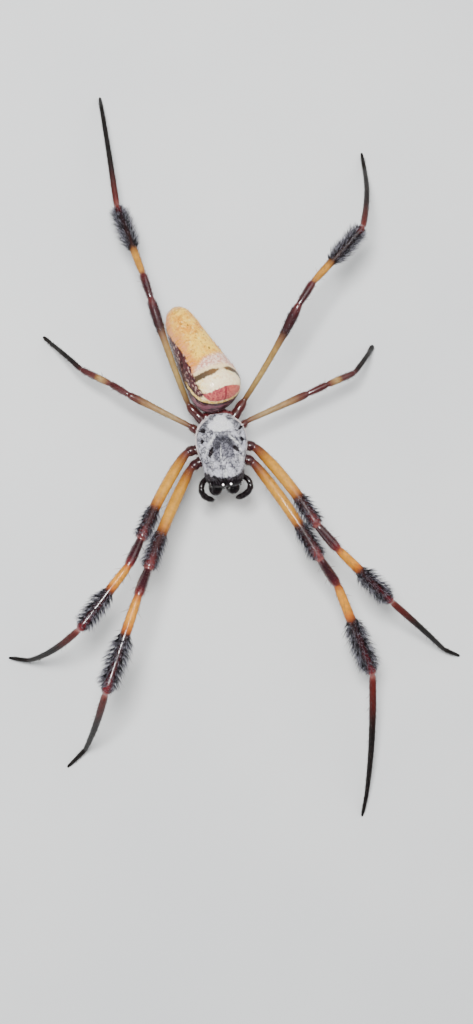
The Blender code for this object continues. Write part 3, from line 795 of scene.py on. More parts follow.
def grow_hairs(name, root, out, lie, length, size, lift, bend, spot, extra=None):
    """All the hairs of a coat as one mesh; spot is the root's place on the unrolled skin."""
    count = len(root)
    out, lie = unit(out), unit(lie - (lie * out).sum(1, keepdims=True) * out)
    lift, length, size = (np.broadcast_to(v, count)[:, None] for v in (lift, length, size))
    ahead = lie * np.cos(lift) + out * np.sin(lift)
    side = unit(np.cross(lie, out))
    over = np.cross(ahead, side)
    sag = (lie * 0.25 - out * 0.75) * np.broadcast_to(bend, count)[:, None]
    root = root - out * ROOT_DEPTH
    rise = (length * (ahead + sag))[:, 2:]
    room = cad_high.z + TOP_ROOM - root[:, 2:]
    length = length * np.clip(room / np.maximum(rise, 1e-6), 0.25, 1)
    points = np.empty((count, 2 * HAIR_SIDES + 1, 3))
    for ring, (t, thick) in enumerate(HAIR_RINGS):
        middle = root + length * (ahead * t + sag * t * t)
        for k in range(HAIR_SIDES):
            angle = 2 * math.pi * k / HAIR_SIDES
            way = side * math.cos(angle) + over * math.sin(angle)
            points[:, ring * HAIR_SIDES + k] = middle + size * thick * way
    points[:, -1] = root + length * (ahead + sag)
    per_hair = points.shape[1]
    faces, patch = hair_pattern()
    faces = (faces[None] + (np.arange(count) * per_hair)[:, None, None]).reshape(-1, 3)
    mesh = bpy.data.meshes.new(name)
    mesh.vertices.add(count * per_hair)
    mesh.vertices.foreach_set("co", points.ravel())
    mesh.loops.add(faces.size)
    mesh.loops.foreach_set("vertex_index", faces.ravel())
    mesh.polygons.add(len(faces))
    mesh.polygons.foreach_set("loop_start", np.arange(0, faces.size, 3))
    mesh.polygons.foreach_set("use_smooth", np.ones(len(faces), bool))
    mesh.update(calc_edges=True)
    corner = np.asarray(spot)[:, None, None] + (patch[None] - 0.5) * PATCH
    mesh.uv_layers.new(name="OFBake").data.foreach_set("uv", corner.reshape(-1, 2).ravel())
    coat = new_piece(name, mesh)
    give_value(coat, "tip", np.tile([0, 0, 0, 0.5, 0.5, 0.5, 1], count))
    give_value(coat, "strand", np.repeat(luck.random(count), per_hair))
    for key, values in (extra or {}).items():
        give_value(coat, key, np.repeat(values, per_hair))
    print(name, count, "hairs,", len(faces), "triangles")
    return coat


# %% [markdown]
# ## Brushes and bristles of the legs
# This species is known by its bottle brushes: stiff black hairs stand out in combs from the thighs and
# shins of the first, second and fourth legs, leaning toward the foot, with silver grey tips that are a
# painted glint of the light.
# Short black down fills the brush between them.
# Elsewhere a leg has thin down and a few long spines.
# The hairs are placed by how far along and how far round the leg they sit.

# %% Places on a leg
ROOTED = 0.97


def line_ways(line):
    """The way along a line at each of its points."""
    return unit(np.gradient(line["points"], axis=0))


def on_leg(leg, along, round_angle):
    """The point on the bare shell, the way out and the way down the leg; angle 0 is its top."""
    line = leg_lines[leg]
    ways = line_ways(line)
    at = [np.interp(along, line["along"], line["points"][:, k]) for k in range(3)]
    way = unit(np.stack([np.interp(along, line["along"], ways[:, k]) for k in range(3)], axis=1))
    side = unit(np.cross(way, [0, 0, 1.0]))
    over = np.cross(side, way)
    out = over * np.cos(round_angle)[:, None] + side * np.sin(round_angle)[:, None]
    return np.stack(at, axis=1) + out * (shell_size(leg, along) * ROOTED)[:, None], out, way


TUFT_GAP = 0.62 * MM


def scatter_on_leg(leg, bend, start, end, count, length, size, lift, top=1.0, tuft=0.0):
    """Hairs between two places along a leg, where whole numbers are joints.

    top is the share that stands on the upper side, against the flanks, and tuft is how much they
    gather in combs.
    """
    line = leg_lines[leg]
    stops = np.interp([start, end], JOINT_NUMBERS, line["joints"])
    along = luck.uniform(stops[0], stops[1], count * 3)
    angle = luck.uniform(-math.pi, math.pi, count * 3)
    keep = luck.random(count * 3) < top + (1 - top) * np.sin(angle) ** 2
    along, angle = along[keep][:count], angle[keep][:count]
    count = len(along)
    offset = 0.5 * (angle > 0)
    comb = (np.round(along / TUFT_GAP + offset) - offset) * TUFT_GAP
    along = np.clip(along + tuft * (comb + 0.09 * MM * luck.normal(size=count) - along), *stops)
    place = np.interp(along, line["joints"], JOINT_NUMBERS)
    root, out, way = on_leg(leg, along, angle)
    share = (along - stops[0]) / (stops[1] - stops[0])
    full = np.clip(np.minimum(0.55 + share / 0.2, 0.35 + (1 - share) / 0.3), 0, 1) if tuft else 1.0
    vary = luck.uniform(0.55, 1.15, count) * full
    spot = np.stack([0.02 + 0.96 * along / line["along"][-1], 0.5 + 0.48 * angle / math.pi], axis=1)
    hairs = {"root": root, "out": out, "spot": spot, "along": place, "length": length * MM * vary}
    hairs["lie"] = way + 0.16 * luck.normal(size=(count, 3))
    hairs["lift"] = math.radians(lift) + luck.normal(0, 0.11, count)
    hairs["size"], hairs["bend"] = np.full(count, size * MM), np.full(count, bend)
    return hairs


def gather(name, batches):
    """Several batches of hairs as one coat piece."""
    joined = {key: np.concatenate([b[key] for b in batches]) for key in batches[0]}
    extra = {"along": joined.pop("along")}
    return grow_hairs(name, extra=extra, **joined)


# %% What grows where on each pair
# start, end, count, length, thickness and lift, and for the brushes the share on top and the combing
BRUSHES = {
    "1": (
        (3.4, 3.93, 660, 1.95, 0.03, 50, 0.05, 0.8), (3.4, 3.95, 760, 1.2, 0.028, 44, 0.1, 0.5),
        (3.385, 3.96, 1500, 0.42, 0.028, 28, 0.45, 0), (1.66, 1.96, 340, 1.4, 0.026, 46, 0.05, 0.7),
        (1.66, 1.97, 520, 0.8, 0.026, 38, 0.15, 0.3), (1.65, 1.98, 700, 0.34, 0.024, 26, 0.5, 0)
    ),
    "2": (
        (3.4, 3.92, 520, 1.65, 0.03, 50, 0.05, 0.8), (3.4, 3.94, 620, 1.02, 0.028, 44, 0.1, 0.5),
        (3.385, 3.96, 1250, 0.38, 0.028, 28, 0.45, 0), (1.66, 1.96, 320, 1.3, 0.026, 46, 0.05, 0.7),
        (1.66, 1.97, 480, 0.76, 0.026, 38, 0.15, 0.3), (1.65, 1.98, 640, 0.32, 0.024, 26, 0.5, 0)
    ),
    "4": (
        (3.36, 3.95, 620, 1.75, 0.026, 50, 0.02, 0.6), (3.36, 3.96, 620, 1.1, 0.024, 44, 0.03, 0.4),
        (3.36, 3.95, 900, 0.36, 0.024, 28, 0.12, 0), (1.68, 1.95, 260, 0.42, 0.022, 34, 0.4, 0)
    ),
}
DOWN = {
    "1": (
        (1.05, 1.62, 260, 0.42, 0.016, 30), (1.95, 3.4, 420, 0.45, 0.017, 32),
        (3.9, 4.95, 700, 0.42, 0.016, 30), (0.3, 1.0, 90, 0.4, 0.016, 40)
    ),
    "2": (
        (1.05, 1.62, 240, 0.42, 0.016, 30), (1.95, 3.4, 380, 0.45, 0.017, 32),
        (3.9, 4.95, 600, 0.4, 0.016, 30), (0.3, 1.0, 90, 0.4, 0.016, 40)
    ),
    "3": (
        (1.05, 2.0, 220, 0.36, 0.014, 30), (2.0, 4.0, 420, 0.42, 0.016, 34),
        (4.0, 4.95, 420, 0.4, 0.015, 32), (0.3, 1.0, 80, 0.4, 0.016, 40)
    ),
    "4": (
        (1.05, 1.6, 260, 0.38, 0.015, 30), (1.95, 3.36, 380, 0.42, 0.016, 32),
        (3.92, 4.95, 620, 0.42, 0.016, 30), (0.3, 1.0, 80, 0.4, 0.016, 40)
    ),
}
SPINES = {
    "1": (
        (1.2, 1.95, 9, 1.15, 0.03, 48), (2.2, 2.95, 8, 1.3, 0.032, 55), (3.05, 3.95, 16, 1.5, 0.034, 52),
        (4.05, 4.7, 12, 0.9, 0.024, 42)
    ),
    "2": (
        (1.2, 1.95, 9, 1.1, 0.03, 48), (2.2, 2.95, 8, 1.2, 0.032, 55), (3.05, 3.95, 14, 1.3, 0.034, 52),
        (4.05, 4.7, 10, 0.8, 0.024, 42)
    ),
    "3": (
        (1.3, 1.95, 7, 0.7, 0.022, 45), (2.2, 2.95, 5, 0.8, 0.024, 50), (3.05, 3.95, 8, 0.8, 0.024, 48),
        (4.05, 4.7, 6, 0.6, 0.02, 42)
    ),
    "4": (
        (1.2, 1.95, 8, 0.8, 0.026, 45), (2.2, 2.95, 6, 1.0, 0.028, 52), (3.05, 3.95, 10, 1.1, 0.03, 50),
        (4.05, 4.7, 9, 0.8, 0.022, 42)
    ),
}


# %% Hair materials
def make_brush_finish():
    """Black hair with silver grey tips painted on as a glint of light, more on some hairs than on others."""
    bench = new_finish("brush_hair", rough=0.42, specular=0.35)
    tip, strand = bench.told("tip"), bench.told("strand")
    # The pale silver grey toward the tips is a painted glint of the light on the hair.
    pale = bench.times(bench.edge(tip, 0.3, 0.8), bench.edge(strand, 0.3, 0.55))
    colour = bench.lay(bench.mix(strand, "070508", "151015"), "B4B2C0", pale, 0.92)
    return bench.hair_surface(colour, bench.place())


DOWN_BANDS = (
    (0, "3A1A18"), (0.21, "8A6238"), (0.31, "7A5430"), (0.335, "1E1412"), (0.4, "4A2220"),
    (0.6, "6A3A28"), (0.62, "8C5E34"), (0.68, "120C0C"), (0.8, "34120F"), (0.87, "0C0808"),
    (1.0, "080606")
)


def make_down_finish():
    """Thin down and the spines among it, pale on the golden parts and dark on the black ones."""
    bench = new_finish("leg_down", rough=0.45, specular=0.2)
    body = bench.ramp(bench.times(bench.told("along"), 1 / len(SEGMENTS)), DOWN_BANDS)
    colour = bench.lay(body, "B9A79A", bench.told("strand"), 0.16)
    return bench.hair_surface(colour, bench.place())


brush_finish, down_finish = make_brush_finish(), make_down_finish()

# %% Grow the coats of the legs
BRUSH_BEND, DOWN_BEND, SPINE_TOP = 0.14, 0.12, 0.5
for leg in LEGS:
    pair = leg[1]
    if pair in BRUSHES:
        brush = [scatter_on_leg(leg, BRUSH_BEND, *hairs) for hairs in BRUSHES[pair]]
        put_on(gather("brush_" + leg, brush), brush_finish, "brush_hair")
    down = [scatter_on_leg(leg, DOWN_BEND, *hairs) for hairs in DOWN[pair]]
    down += [scatter_on_leg(leg, 0.0, *hairs, SPINE_TOP) for hairs in SPINES[pair]]
    put_on(gather("down_" + leg, down), down_finish, "brush_hair" if pair != "3" else "olive_shell")

# %% [markdown]
# ## The shield over the head and chest
# The carapace is one plate: a raised box of a head in front, a low round chest behind, and a pit between
# them where the stomach muscles pull.
# Furrows run from the pit to the hips, two slanting cuts part the head from the chest, and a pale bead
# runs along the rim.
# The frame's solid already has the outline, so a copy of it is merged, turned to quads and rounded, and
# then the furrows are pressed in, point by point, as with a modelling tool.

# %% Copy a solid and press it into shape
def copy_solid(node, name, levels):
    """A merged and rounded copy of a frame solid."""
    piece = new_piece(name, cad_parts[node].data.copy())
    open_mesh(piece)
    bpy.ops.mesh.remove_doubles(threshold=1e-6)
    flat, square = math.radians(50), math.radians(60)
    bpy.ops.mesh.tris_convert_to_quads(face_threshold=flat, shape_threshold=square)
    close_mesh()
    round_off(piece, levels)
    return piece


def point_ways(piece):
    """The way out at each point."""
    flat = np.empty(len(piece.data.vertices) * 3, np.float32)
    piece.data.vertex_normals.foreach_get("vector", flat)
    return flat.reshape(-1, 3).astype(float)


def press(piece, amount):
    """Moves each point out by an amount in millimetres, or in where it is negative."""
    write_points(piece, read_points(piece) + point_ways(piece) * np.asarray(amount)[:, None] * MM)


def dent(x, y, middle, size, turn=0.0):
    """A soft oval hollow, 1 in the middle and fading out at its size."""
    a = math.radians(turn)
    u = ((x - middle[0]) * math.cos(a) + (y - middle[1]) * math.sin(a)) / size[0]
    v = (-(x - middle[0]) * math.sin(a) + (y - middle[1]) * math.cos(a)) / size[1]
    return np.exp(-(u * u + v * v))


def groove(x, y, start, end, width):
    """A soft furrow along a line, fading at its ends."""
    start, end = np.array(start), np.array(end)
    run = end - start
    t = np.clip(((x - start[0]) * run[0] + (y - start[1]) * run[1]) / (run @ run), 0, 1)
    away = np.hypot(x - start[0] - t * run[0], y - start[1] - t * run[1])
    return np.exp(-((away / width) ** 2)) * np.sin(math.pi * np.clip(0.15 + 0.7 * t, 0, 1))


# %% Model the carapace
PIT = (0.0, 1.75)
FURROW_ENDS = ((1.78, -0.1), (2.75, 1.38), (2.62, 2.85), (1.05, 4.4))
MARKS = (
    ((-1.7, -0.14), (0.29, 0.72), -24), ((1.78, 0.1), (0.28, 0.62), 40), ((-2.42, 2.8), (0.36, 0.38), 0),
    ((-2.9, 2.84), (0.3, 0.12), -14), ((-2.74, 1.38), (0.25, 0.36), 0), ((2.72, 2.88), (0.19, 0.44), -52),
    ((2.76, 1.36), (0.24, 0.34), 25),
)


def on_carapace(points):
    """Across, along and height on the carapace in millimetres, from the middle of its rim."""
    return ((points - np.array((*carapace_middle.xy, carapace_low.z))) / MM).T


def make_carapace():
    shield = copy_solid("carapace", "carapace_shell", 3)
    x, y, z = on_carapace(read_points(shield))
    side = np.abs(x)
    top = np.clip(point_ways(shield)[:, 2], 0, 1)
    pit, trough = dent(side, y, PIT, (0.75, 0.3)), dent(side, y, (0, 1.2), (0.5, 0.8))
    pressed = -0.3 * pit - 0.18 * trough
    for end in FURROW_ENDS:
        pressed -= 0.13 * groove(side, y, (0.35, PIT[1]), end, 0.2)
    pressed -= 0.16 * groove(side, y, (0.6, 0.9), (2.5, -1.35), 0.22)
    for middle, size, turn in MARKS:
        pressed -= 0.16 * dent(x, y, middle, (size[0] * 1.1, size[1]), turn)
    pressed += (
        0.1 * dent(side, y, (0.95, -1.9), (0.7, 1.2))
        + 0.07 * dent(side, y, (2.3, 2.1), (0.4, 0.35))
        + 0.07 * dent(side, y, (2.3, 0.4), (0.4, 0.5))
    )
    for eye in ("back_middle_l", "back_side_l", "front_side_l"):
        here = room_of("eye_" + eye)[2]
        knob = [(here[k] - carapace_middle[k]) / MM for k in (0, 1)]
        pressed += 0.08 * dent(side, y, knob, (0.3, 0.3))
    pressed = pressed * top
    rim = np.exp(-(((z - 0.22) / 0.16) ** 2))
    pressed += 0.05 * rim - 0.06
    press(shield, pressed)
    return shield


carapace = make_carapace()
print("carapace", len(carapace.data.polygons), "faces")

# %% [markdown]
# ## Silver and slate
# The carapace is black shell under silver down.
# Where the down is thick it is nearly white: in a patch at the back, along two streaks beside the pit and
# over the head.
# Over the pit it is thin and slate grey, and the slanting cuts and four spots on the flanks are bare and
# black, as is the whole front of the face, where the eyes are.
# The same group of masks colours the shell and the hairs.

# %% The carapace pattern group
def fill_carapace_pattern(bench, place):
    """Where on the carapace; out come the colour of the down and how bare the shell is."""
    mix, lay, edge = bench.mix, bench.lay, bench.edge
    noise, times = bench.noise, bench.times
    shaken = bench.shaken(place, 2.4, 3, 0.6, (0.45, 0.45, 0.0))
    worms = noise(shaken, 1.15, 4, 0.62)
    blotch = edge(worms, 0.47, 0.54)
    speck = edge(noise(place, 3.6, 3, 0.6), 0.45, 0.58)
    across, along, upward = bench.split(shaken)
    side = bench.sum("ABSOLUTE", across)
    colour = mix(blotch, "4C4B56", "D0CFDA")
    colour = lay(colour, "FAF9FF", speck, 0.6)
    # slate over the pit: an arch behind, paler in front of the pit and to the middle
    arch = bench.spots(shaken, ((0.12, 0.7), (1.62, 1.5), 0, 0.55))
    arch = times(arch, edge(along, -0.1, 0.2))
    front_slate = bench.spots(
        shaken, ((-0.8, -0.5), (0.68, 1.1), -6, 0.45), ((0.66, -0.4), (0.74, 0.85), 8, 0.45)
    )
    deep = bench.spots(
        shaken, ((-0.72, 0.78), (0.42, 0.62), -25, 0.9), ((0.95, 1.02), (0.38, 0.62), 35, 0.9),
        ((0.1, 1.45), (0.55, 0.35), 0, 0.9)
    )
    colour = lay(colour, mix(speck, "42414B", "93929F"), front_slate, 0.92)
    colour = lay(colour, mix(speck, "383740", "7B7A86"), arch, 0.93)
    colour = lay(colour, "201F26", deep, 0.75)
    bars = bench.spots(
        shaken, ((0.4, 2.42), (1.15, 0.09), -4, 0.8), ((1.72, -2.4), (0.42, 0.13), 0, 0.8),
        ((0.76, -1.72), (0.26, 0.22), 0, 0.8), ((-1.55, -2.45), (0.4, 0.13), 10, 0.8),
        ((-0.55, -2.25), (0.3, 0.1), 0, 0.8)
    )
    colour = lay(colour, "6E6D78", bars, 0.7)
    corner = bench.spots(
        shaken, ((-1.15, 4.55), (0.42, 0.42), 0, 0.9), ((1.3, 4.4), (0.5, 0.4), 0, 0.9),
        ((2.4, 3.4), (0.62, 0.95), 24, 0.8), ((-2.35, 3.45), (0.58, 0.95), -24, 0.8)
    )
    colour = lay(colour, "55555C", corner, edge(speck, 0, 1, 0.85, 0.45))
    # bright streaks and patches
    streaks = bench.spots(
        shaken, ((-1.6, 1.3), (0.2, 0.85), -38, 0.9), ((1.62, 1.25), (0.16, 0.95), 44, 0.9),
        ((2.45, -0.1), (0.14, 0.75), 22, 0.9), ((-2.25, 0.1), (0.14, 0.8), -16, 0.9),
        ((-0.42, -0.35), (0.09, 0.95), -8, 0.8), ((-0.05, -3.25), (0.28, 0.55), 0, 0.8),
        ((2.35, -1.3), (0.35, 0.5), 20, 0.8)
    )
    colour = lay(colour, "FFFFFF", streaks, edge(speck, 0, 1, 0.45, 0.95))
    rear = bench.spots(
        shaken, ((-0.05, 3.35), (1.72, 0.78), 0, 0.22), ((0.05, 4.05), (0.95, 0.75), 0, 0.3)
    )
    colour = mix(rear, colour, mix(blotch, "F6F5FA", "FFFFFF"))
    # the pale edge, with grey behind it
    rear_half = times(edge(along, -0.9, 0.0), edge(along, 4.6, 4.1))
    border = times(edge(upward, 0.98, 0.84), rear_half)
    colour = lay(colour, "4C4B53", border, edge(speck, 0, 1, 0.4, 0.75))
    edging = times(edge(upward, 0.8, 0.72), rear_half)
    colour = mix(edging, colour, "FBEFEC")
    # the bare face, the brown cheeks and the marks
    ragged = bench.sum("MULTIPLY_ADD", noise(place, 2.6, 2), 0.9, -0.45)
    bend = times(times(side, side), -0.13)
    face = edge(bench.sum("ADD", bench.sum("ADD", along, bend), ragged), -3.68, -3.92)
    cheek = times(edge(side, 1.75, 2.5), edge(along, -2.5, -3.5))
    colour = lay(colour, "6B6058", cheek, 0.8)
    bare = bench.sum("MAXIMUM", face, times(cheek, 0.35))
    bare = bench.spots(shaken, *((*mark, 0.4) for mark in MARKS), mask=bare)
    return colour, bare


outputs = (("Down", "Color"), ("Bare", "Float"))
carapace_pattern = make_group("carapace_pattern", fill_carapace_pattern, outputs)


def carapace_colours(bench):
    """The pattern placed in a material, centred on the carapace."""
    place = bench.place((*carapace_middle.xy, carapace_low.z))
    return place, *bench.add("Group", None, {"Place": place}, node_tree=carapace_pattern).outputs


# %% Carapace materials
def make_carapace_finish():
    """Dark shell with a film of down on it, bare and glossy in the marks, with a pale bead along the rim."""
    bench = new_finish("carapace_shell", rough=0.5, specular=0.1)
    place, down, bare = carapace_colours(bench)
    mottle, height = grain(bench, place, 0.35)
    shell = bench.mix(mottle, "0A080B", "1C1418")
    film = bench.mix(0.35, down, "2A282F")
    colour = bench.mix(bare, film, shell)
    _, along, upward = bench.split(place)
    bead = bench.times(bench.edge(upward, 0.02, 0.12), bench.edge(upward, 0.5, 0.34))
    colour = bench.lay(colour, "F4E6E4", bead, bench.edge(along, -3.4, -2.6))
    rough = bench.edge(bare, 0.0, 1.0, 0.6, 0.38)
    return bench.surface(colour, height, 0.5, 0.05, rough)


def make_silver_finish():
    """Silver hair, each a little different, in the colours of the pattern."""
    bench = new_finish("silver_down", rough=0.42)
    place, down, bare = carapace_colours(bench)
    strand = bench.told("strand")
    tip = bench.told("tip")
    colour = bench.lay(down, "6E6C78", strand, 0.16)
    colour = bench.mix(bench.edge(tip, 0.3, 1.0, 0.0, 0.18), colour, "FFFFFF")
    browned = bench.mix(bench.edge(strand, 0.55, 1.0), "0C090B", "6A6068")
    colour = bench.lay(colour, browned, bare, 0.95)
    return bench.hair_surface(colour, place)


put_on(carapace, make_carapace_finish(), "silver_hair", "carapace")
silver = make_silver_finish()


# %% Places on any skin
def scatter_on_skin(skin, count, chance):
    """Points spread evenly over a skin and kept by chance, with the way out at each."""
    skin.data.calc_loop_triangles()
    flat = np.empty(len(skin.data.loop_triangles) * 3, np.int32)
    skin.data.loop_triangles.foreach_get("vertices", flat)
    faces = flat.reshape(-1, 3)
    points, ways = read_points(skin), point_ways(skin)
    a, b, c = (points[faces[:, k]] for k in range(3))
    areas = np.linalg.norm(np.cross(b - a, c - a), axis=1)
    chosen = faces[luck.choice(len(faces), count, p=areas / areas.sum())]
    share = luck.dirichlet((1, 1, 1), count)[:, :, None]
    root, out = (points[chosen] * share).sum(1), unit((ways[chosen] * share).sum(1))
    keep = luck.random(count) < chance(root, out)
    return root[keep], out[keep]


# %% Grow the silver down
def bare_share(x, y):
    """How bare the carapace is, as the pattern has it, for placing hairs."""
    bare = np.clip((-3.8 - y) / 0.2, 0, 1)
    for middle, size, turn in MARKS:
        bare = np.maximum(bare, np.clip(2.2 * dent(x, y, middle, size, turn), 0, 1))
    return bare


def silver_chance(root, out):
    x, y, z = on_carapace(root)
    slate = np.maximum(dent(x, y, (0, 1.3), (1.1, 1.2)), dent(x, y, (0, -0.3), (1.0, 0.9)))
    covered = np.clip((1 - bare_share(x, y)) * (1 - 0.55 * slate), 0.015, 1)
    return covered * (out[:, 2] > -0.1) * np.clip((z - 0.25) / 0.3, 0.1, 1)


def grow_silver(name, count, length, size, lift, chance):
    root, out = scatter_on_skin(carapace, count, chance)
    x, y, z = on_carapace(root)
    swirl = np.stack([-x * 0.45, -1.0 + 0.25 * np.sin(1.7 * x + 0.9 * y), 0.1 * x], axis=1)
    swirl = swirl + 0.35 * luck.normal(size=(len(x), 3))
    spot = np.stack([0.5 + 0.42 * np.arctan2(x, z + 0.6) / (math.pi / 2), 0.5 + y / 11.5], axis=1)
    length = length * MM * luck.uniform(0.6, 1.25, len(x))
    lift = math.radians(lift) + luck.normal(0, 0.12, len(x))
    coat = grow_hairs(name, root, out, swirl, length, size * MM, lift, 0.18, spot)
    put_on(coat, silver, "silver_hair")


grow_silver("carapace_down", 13000, 0.42, 0.024, 16, silver_chance)
grow_silver("carapace_bristles", 420, 0.75, 0.018, 48, lambda root, out: (out[:, 2] > 0.2) * 1.0)

# %% [markdown]
# ## Eyes
# An orb weaver has eight small eyes in two rows: a square of four in the middle of the face, and a close
# pair on a knob at each side.
# Each is a clear dome over black, set in a dark ring of shell.
# One ball is cut in half, its open edge is drawn out into the ring, and the result is copied to each
# place and turned to look outward.

# %% One eye, modelled once
EYE_CUT = -0.05
SOCKET_RINGS = ((1.08, 0.03), (1.22, 0.1), (1.38, -0.02), (1.44, -0.3), (1.2, -0.5))


def make_eye():
    """A dome of radius 1 that looks along Z, with its socket ring."""
    clear_selection()
    bpy.ops.mesh.primitive_uv_sphere_add(segments=32, ring_count=24, radius=1, location=(0, 0, 0))
    eye = bpy.context.object
    open_mesh(eye)
    bpy.ops.mesh.bisect(plane_co=(0, 0, EYE_CUT), plane_no=(0, 0, 1), clear_inner=True)
    bpy.ops.mesh.select_all(action="DESELECT")
    bpy.ops.mesh.select_mode(type="EDGE")
    bpy.ops.mesh.select_non_manifold()
    level, width = EYE_CUT, 1.0
    for next_width, next_level in SOCKET_RINGS:
        bpy.ops.mesh.extrude_edges_move(TRANSFORM_OT_translate={"value": (0, 0, next_level - level)})
        bpy.ops.transform.resize(
            value=(next_width / width, next_width / width, 1), center_override=(0, 0, 0)
        )
        level, width = next_level, next_width
    bpy.ops.mesh.edge_face_add()
    bpy.ops.mesh.select_mode(type="VERT")
    close_mesh()
    return eye


# %% Eye materials
def make_lens_finish():
    """Clear lens over black: a dark brown ground under a hard wet gloss."""
    bench = new_finish("eye_lens", rough=0.1, coat=1.0, specular=1.0)
    place = bench.place()
    depth = bench.noise(place, 3.0, 2)
    return bench.surface(bench.mix(depth, "050405", "1C0F0C"), depth, 0.03, 0.01)


def make_black_finish(name, low, high, rough=0.2, coat=0.6, specular=0.5):
    """Hard glossy shell, from black to dark wine."""
    bench = new_finish(name, rough=rough, coat=coat, specular=specular)
    place = bench.place()
    mottle, height = grain(bench, place, 0.4)
    gloss = bench.edge(mottle, 0, 1, rough * 0.7, rough * 1.5)
    return bench.surface(bench.mix(mottle, low, high), height, 0.25, 0.03, gloss)


lens = make_lens_finish()
black_shell = make_black_finish("black_shell", "060405", "160A0D", rough=0.24, coat=0.5, specular=0.2)

# %% Set the eyes
EYE_PLACES = ("back_middle", "front_middle", "front_side", "back_side")
EYES = [f"eye_{place}_{side}" for place in EYE_PLACES for side in "lr"]
BALL_EDGE, BALL_FILL = 1.03, 0.86
FLAT_FROM = {True: 0.8, False: 0.96}
FLATNESS = 0.94
core_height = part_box("eye_front_middle_l")[0].z - 0.15 * MM
head_core = Vector((carapace_middle.x, carapace_low.y + 1.45 * MM, core_height))
view_place = bpy.context.scene.camera.location
near_place = bpy.data.objects["near_light"].location


def set_eyes(pattern):
    """A copy of the eye in each place, looking out from the middle of the head.

    The ball is a little flatter where it would mirror the near light, most so on the upper pair.
    """
    shape = read_points(pattern)
    widths = np.linalg.norm(shape, axis=1)
    for node in EYES:
        _, _, middle, half = room_of(node)
        turn = (middle - head_core).to_track_quat("Z", "Y").to_matrix()
        eye = new_piece(node.replace("eye_", "eyeball_"), pattern.data.copy())
        way = shape @ np.array(turn.transposed())
        gleam = (view_place - middle).normalized() + (near_place - middle).normalized()
        gleam = np.array(gleam.normalized())
        over = np.clip(way @ gleam - FLAT_FROM["back_middle" in node], 0, 1)[:, None]
        way = np.where(widths[:, None] < BALL_EDGE, way - over * FLATNESS * gleam, way)
        write_points(eye, way * (max(half) * BALL_FILL) + np.array(middle))
        put_on(eye, lens, "eye_lens", node)
        eye.data.materials.append(black_shell)
        for face in eye.data.polygons:
            face.material_index = int(max(widths[v] for v in face.vertices) > BALL_EDGE)
        pick(eye)
        bpy.ops.object.shade_smooth()


eye_pattern = make_eye()
set_eyes(eye_pattern)
bpy.data.objects.remove(eye_pattern)
print(len(EYES), "eyes")

# %% [markdown]
# ## Jaws
# Under the face hang two stout jaws, each a glossy black barrel that bulges at the knee and tapers to a
# toothed end, where a hooked fang folds in under it.
# A barrel is easiest as a stack of rings: a filled circle extruded downward and widened or narrowed at
# every level, across and in depth by different amounts.

# %% A stack of rings
def stack(name, rings, sides=16):
    """A closed upright shape from rings, each a middle (x, y, z) and two radii."""
    clear_selection()
    (middle, wide, deep), others = rings[0], rings[1:]
    bpy.ops.mesh.primitive_circle_add(vertices=sides, radius=1, fill_type="NGON", location=middle)
    piece = bpy.context.object
    piece.name = name
    open_mesh(piece)
    bpy.ops.transform.resize(value=(wide, deep, 1), center_override=middle)
    for next_middle, next_wide, next_deep in others:
        move = Vector(next_middle) - Vector(middle)
        bpy.ops.mesh.extrude_region_move(TRANSFORM_OT_translate={"value": move})
        bpy.ops.transform.resize(
            value=(next_wide / wide, next_deep / deep, 1), center_override=next_middle
        )
        middle, wide, deep = next_middle, next_wide, next_deep
    close_mesh()
    bpy.ops.object.transform_apply(location=True, rotation=True, scale=True)
    return piece


# %% Model the jaws
JAW_RINGS = (
    (-0.22, 0.62, 0.5, 0.34), (-0.12, 0.46, 0.72, 0.54), (-0.03, 0.24, 0.82, 0.74),
    (0.05, 0.06, 0.88, 0.9), (0.15, -0.02, 0.95, 0.97), (0.32, -0.02, 0.98, 0.98),
    (0.5, 0.03, 0.93, 0.91), (0.68, 0.1, 0.82, 0.8), (0.82, 0.16, 0.7, 0.66), (0.93, 0.18, 0.6, 0.54),
    (1.01, 0.18, 0.42, 0.38)
)


def make_jaw(side):
    """The barrel of one jaw, with a knob at the outer top and a flatter inner face."""
    _, high, middle, half = room_of("chelicera_" + side)
    rings = []
    for down, back, wide, deep in JAW_RINGS:
        place = (middle.x, middle.y + back * half.y, high.z - down * 2 * half.z)
        rings.append((place, wide * half.x, deep * half.y))
    jaw = stack("jaw_" + side, rings)
    round_off(jaw, 2)
    points = read_points(jaw)
    x, z = ((points[:, k] - middle[k]) / half[k] for k in (0, 2))
    x = x if side == "l" else -x
    pressed = 0.1 * dent(x, z, (0.85, 0.72), (0.3, 0.2)) - 0.1 * dent(x, z, (-1.0, -0.1), (0.35, 0.9))
    pressed = pressed - 0.04 * np.exp(-(((z + 0.86) / 0.07) ** 2)) - 0.04
    press(jaw, pressed)
    put_on(jaw, black_shell, "black_shell", "chelicera_" + side)
    return jaw


# %% Model the fangs
FANG_SIZES = ((0, 0.15), (0.08, 0.19), (0.25, 0.17), (0.5, 0.12), (0.75, 0.075), (0.92, 0.04), (1, 0.012))
FANG_LIFT = 0.4


def make_fang(side):
    """A hooked fang that folds inward under the jaw."""
    low, high, middle, _ = room_of("fang_" + side)
    start, end, inward = (high.x, low.x, -1) if side == "l" else (low.x, high.x, 1)
    t = np.linspace(0, 1, 30)
    across = start + (end - start) * t + inward * -0.05 * MM
    back = middle.y + 0.1 * MM * np.sin(math.pi * t)
    up = middle.z + (FANG_LIFT - 0.16 * np.sin(math.pi * t * 0.9)) * MM
    points = np.stack([across, back, up], axis=1)
    length = np.linalg.norm(np.diff(points, axis=0), axis=1).sum()
    fang = straight_tube("fang_" + side, [(t * length, r * MM) for t, r in FANG_SIZES], sides=12)
    round_off(fang, 1)
    bend_along(fang, points)
    put_on(fang, fang_finish, "black_shell", "fang_" + side)


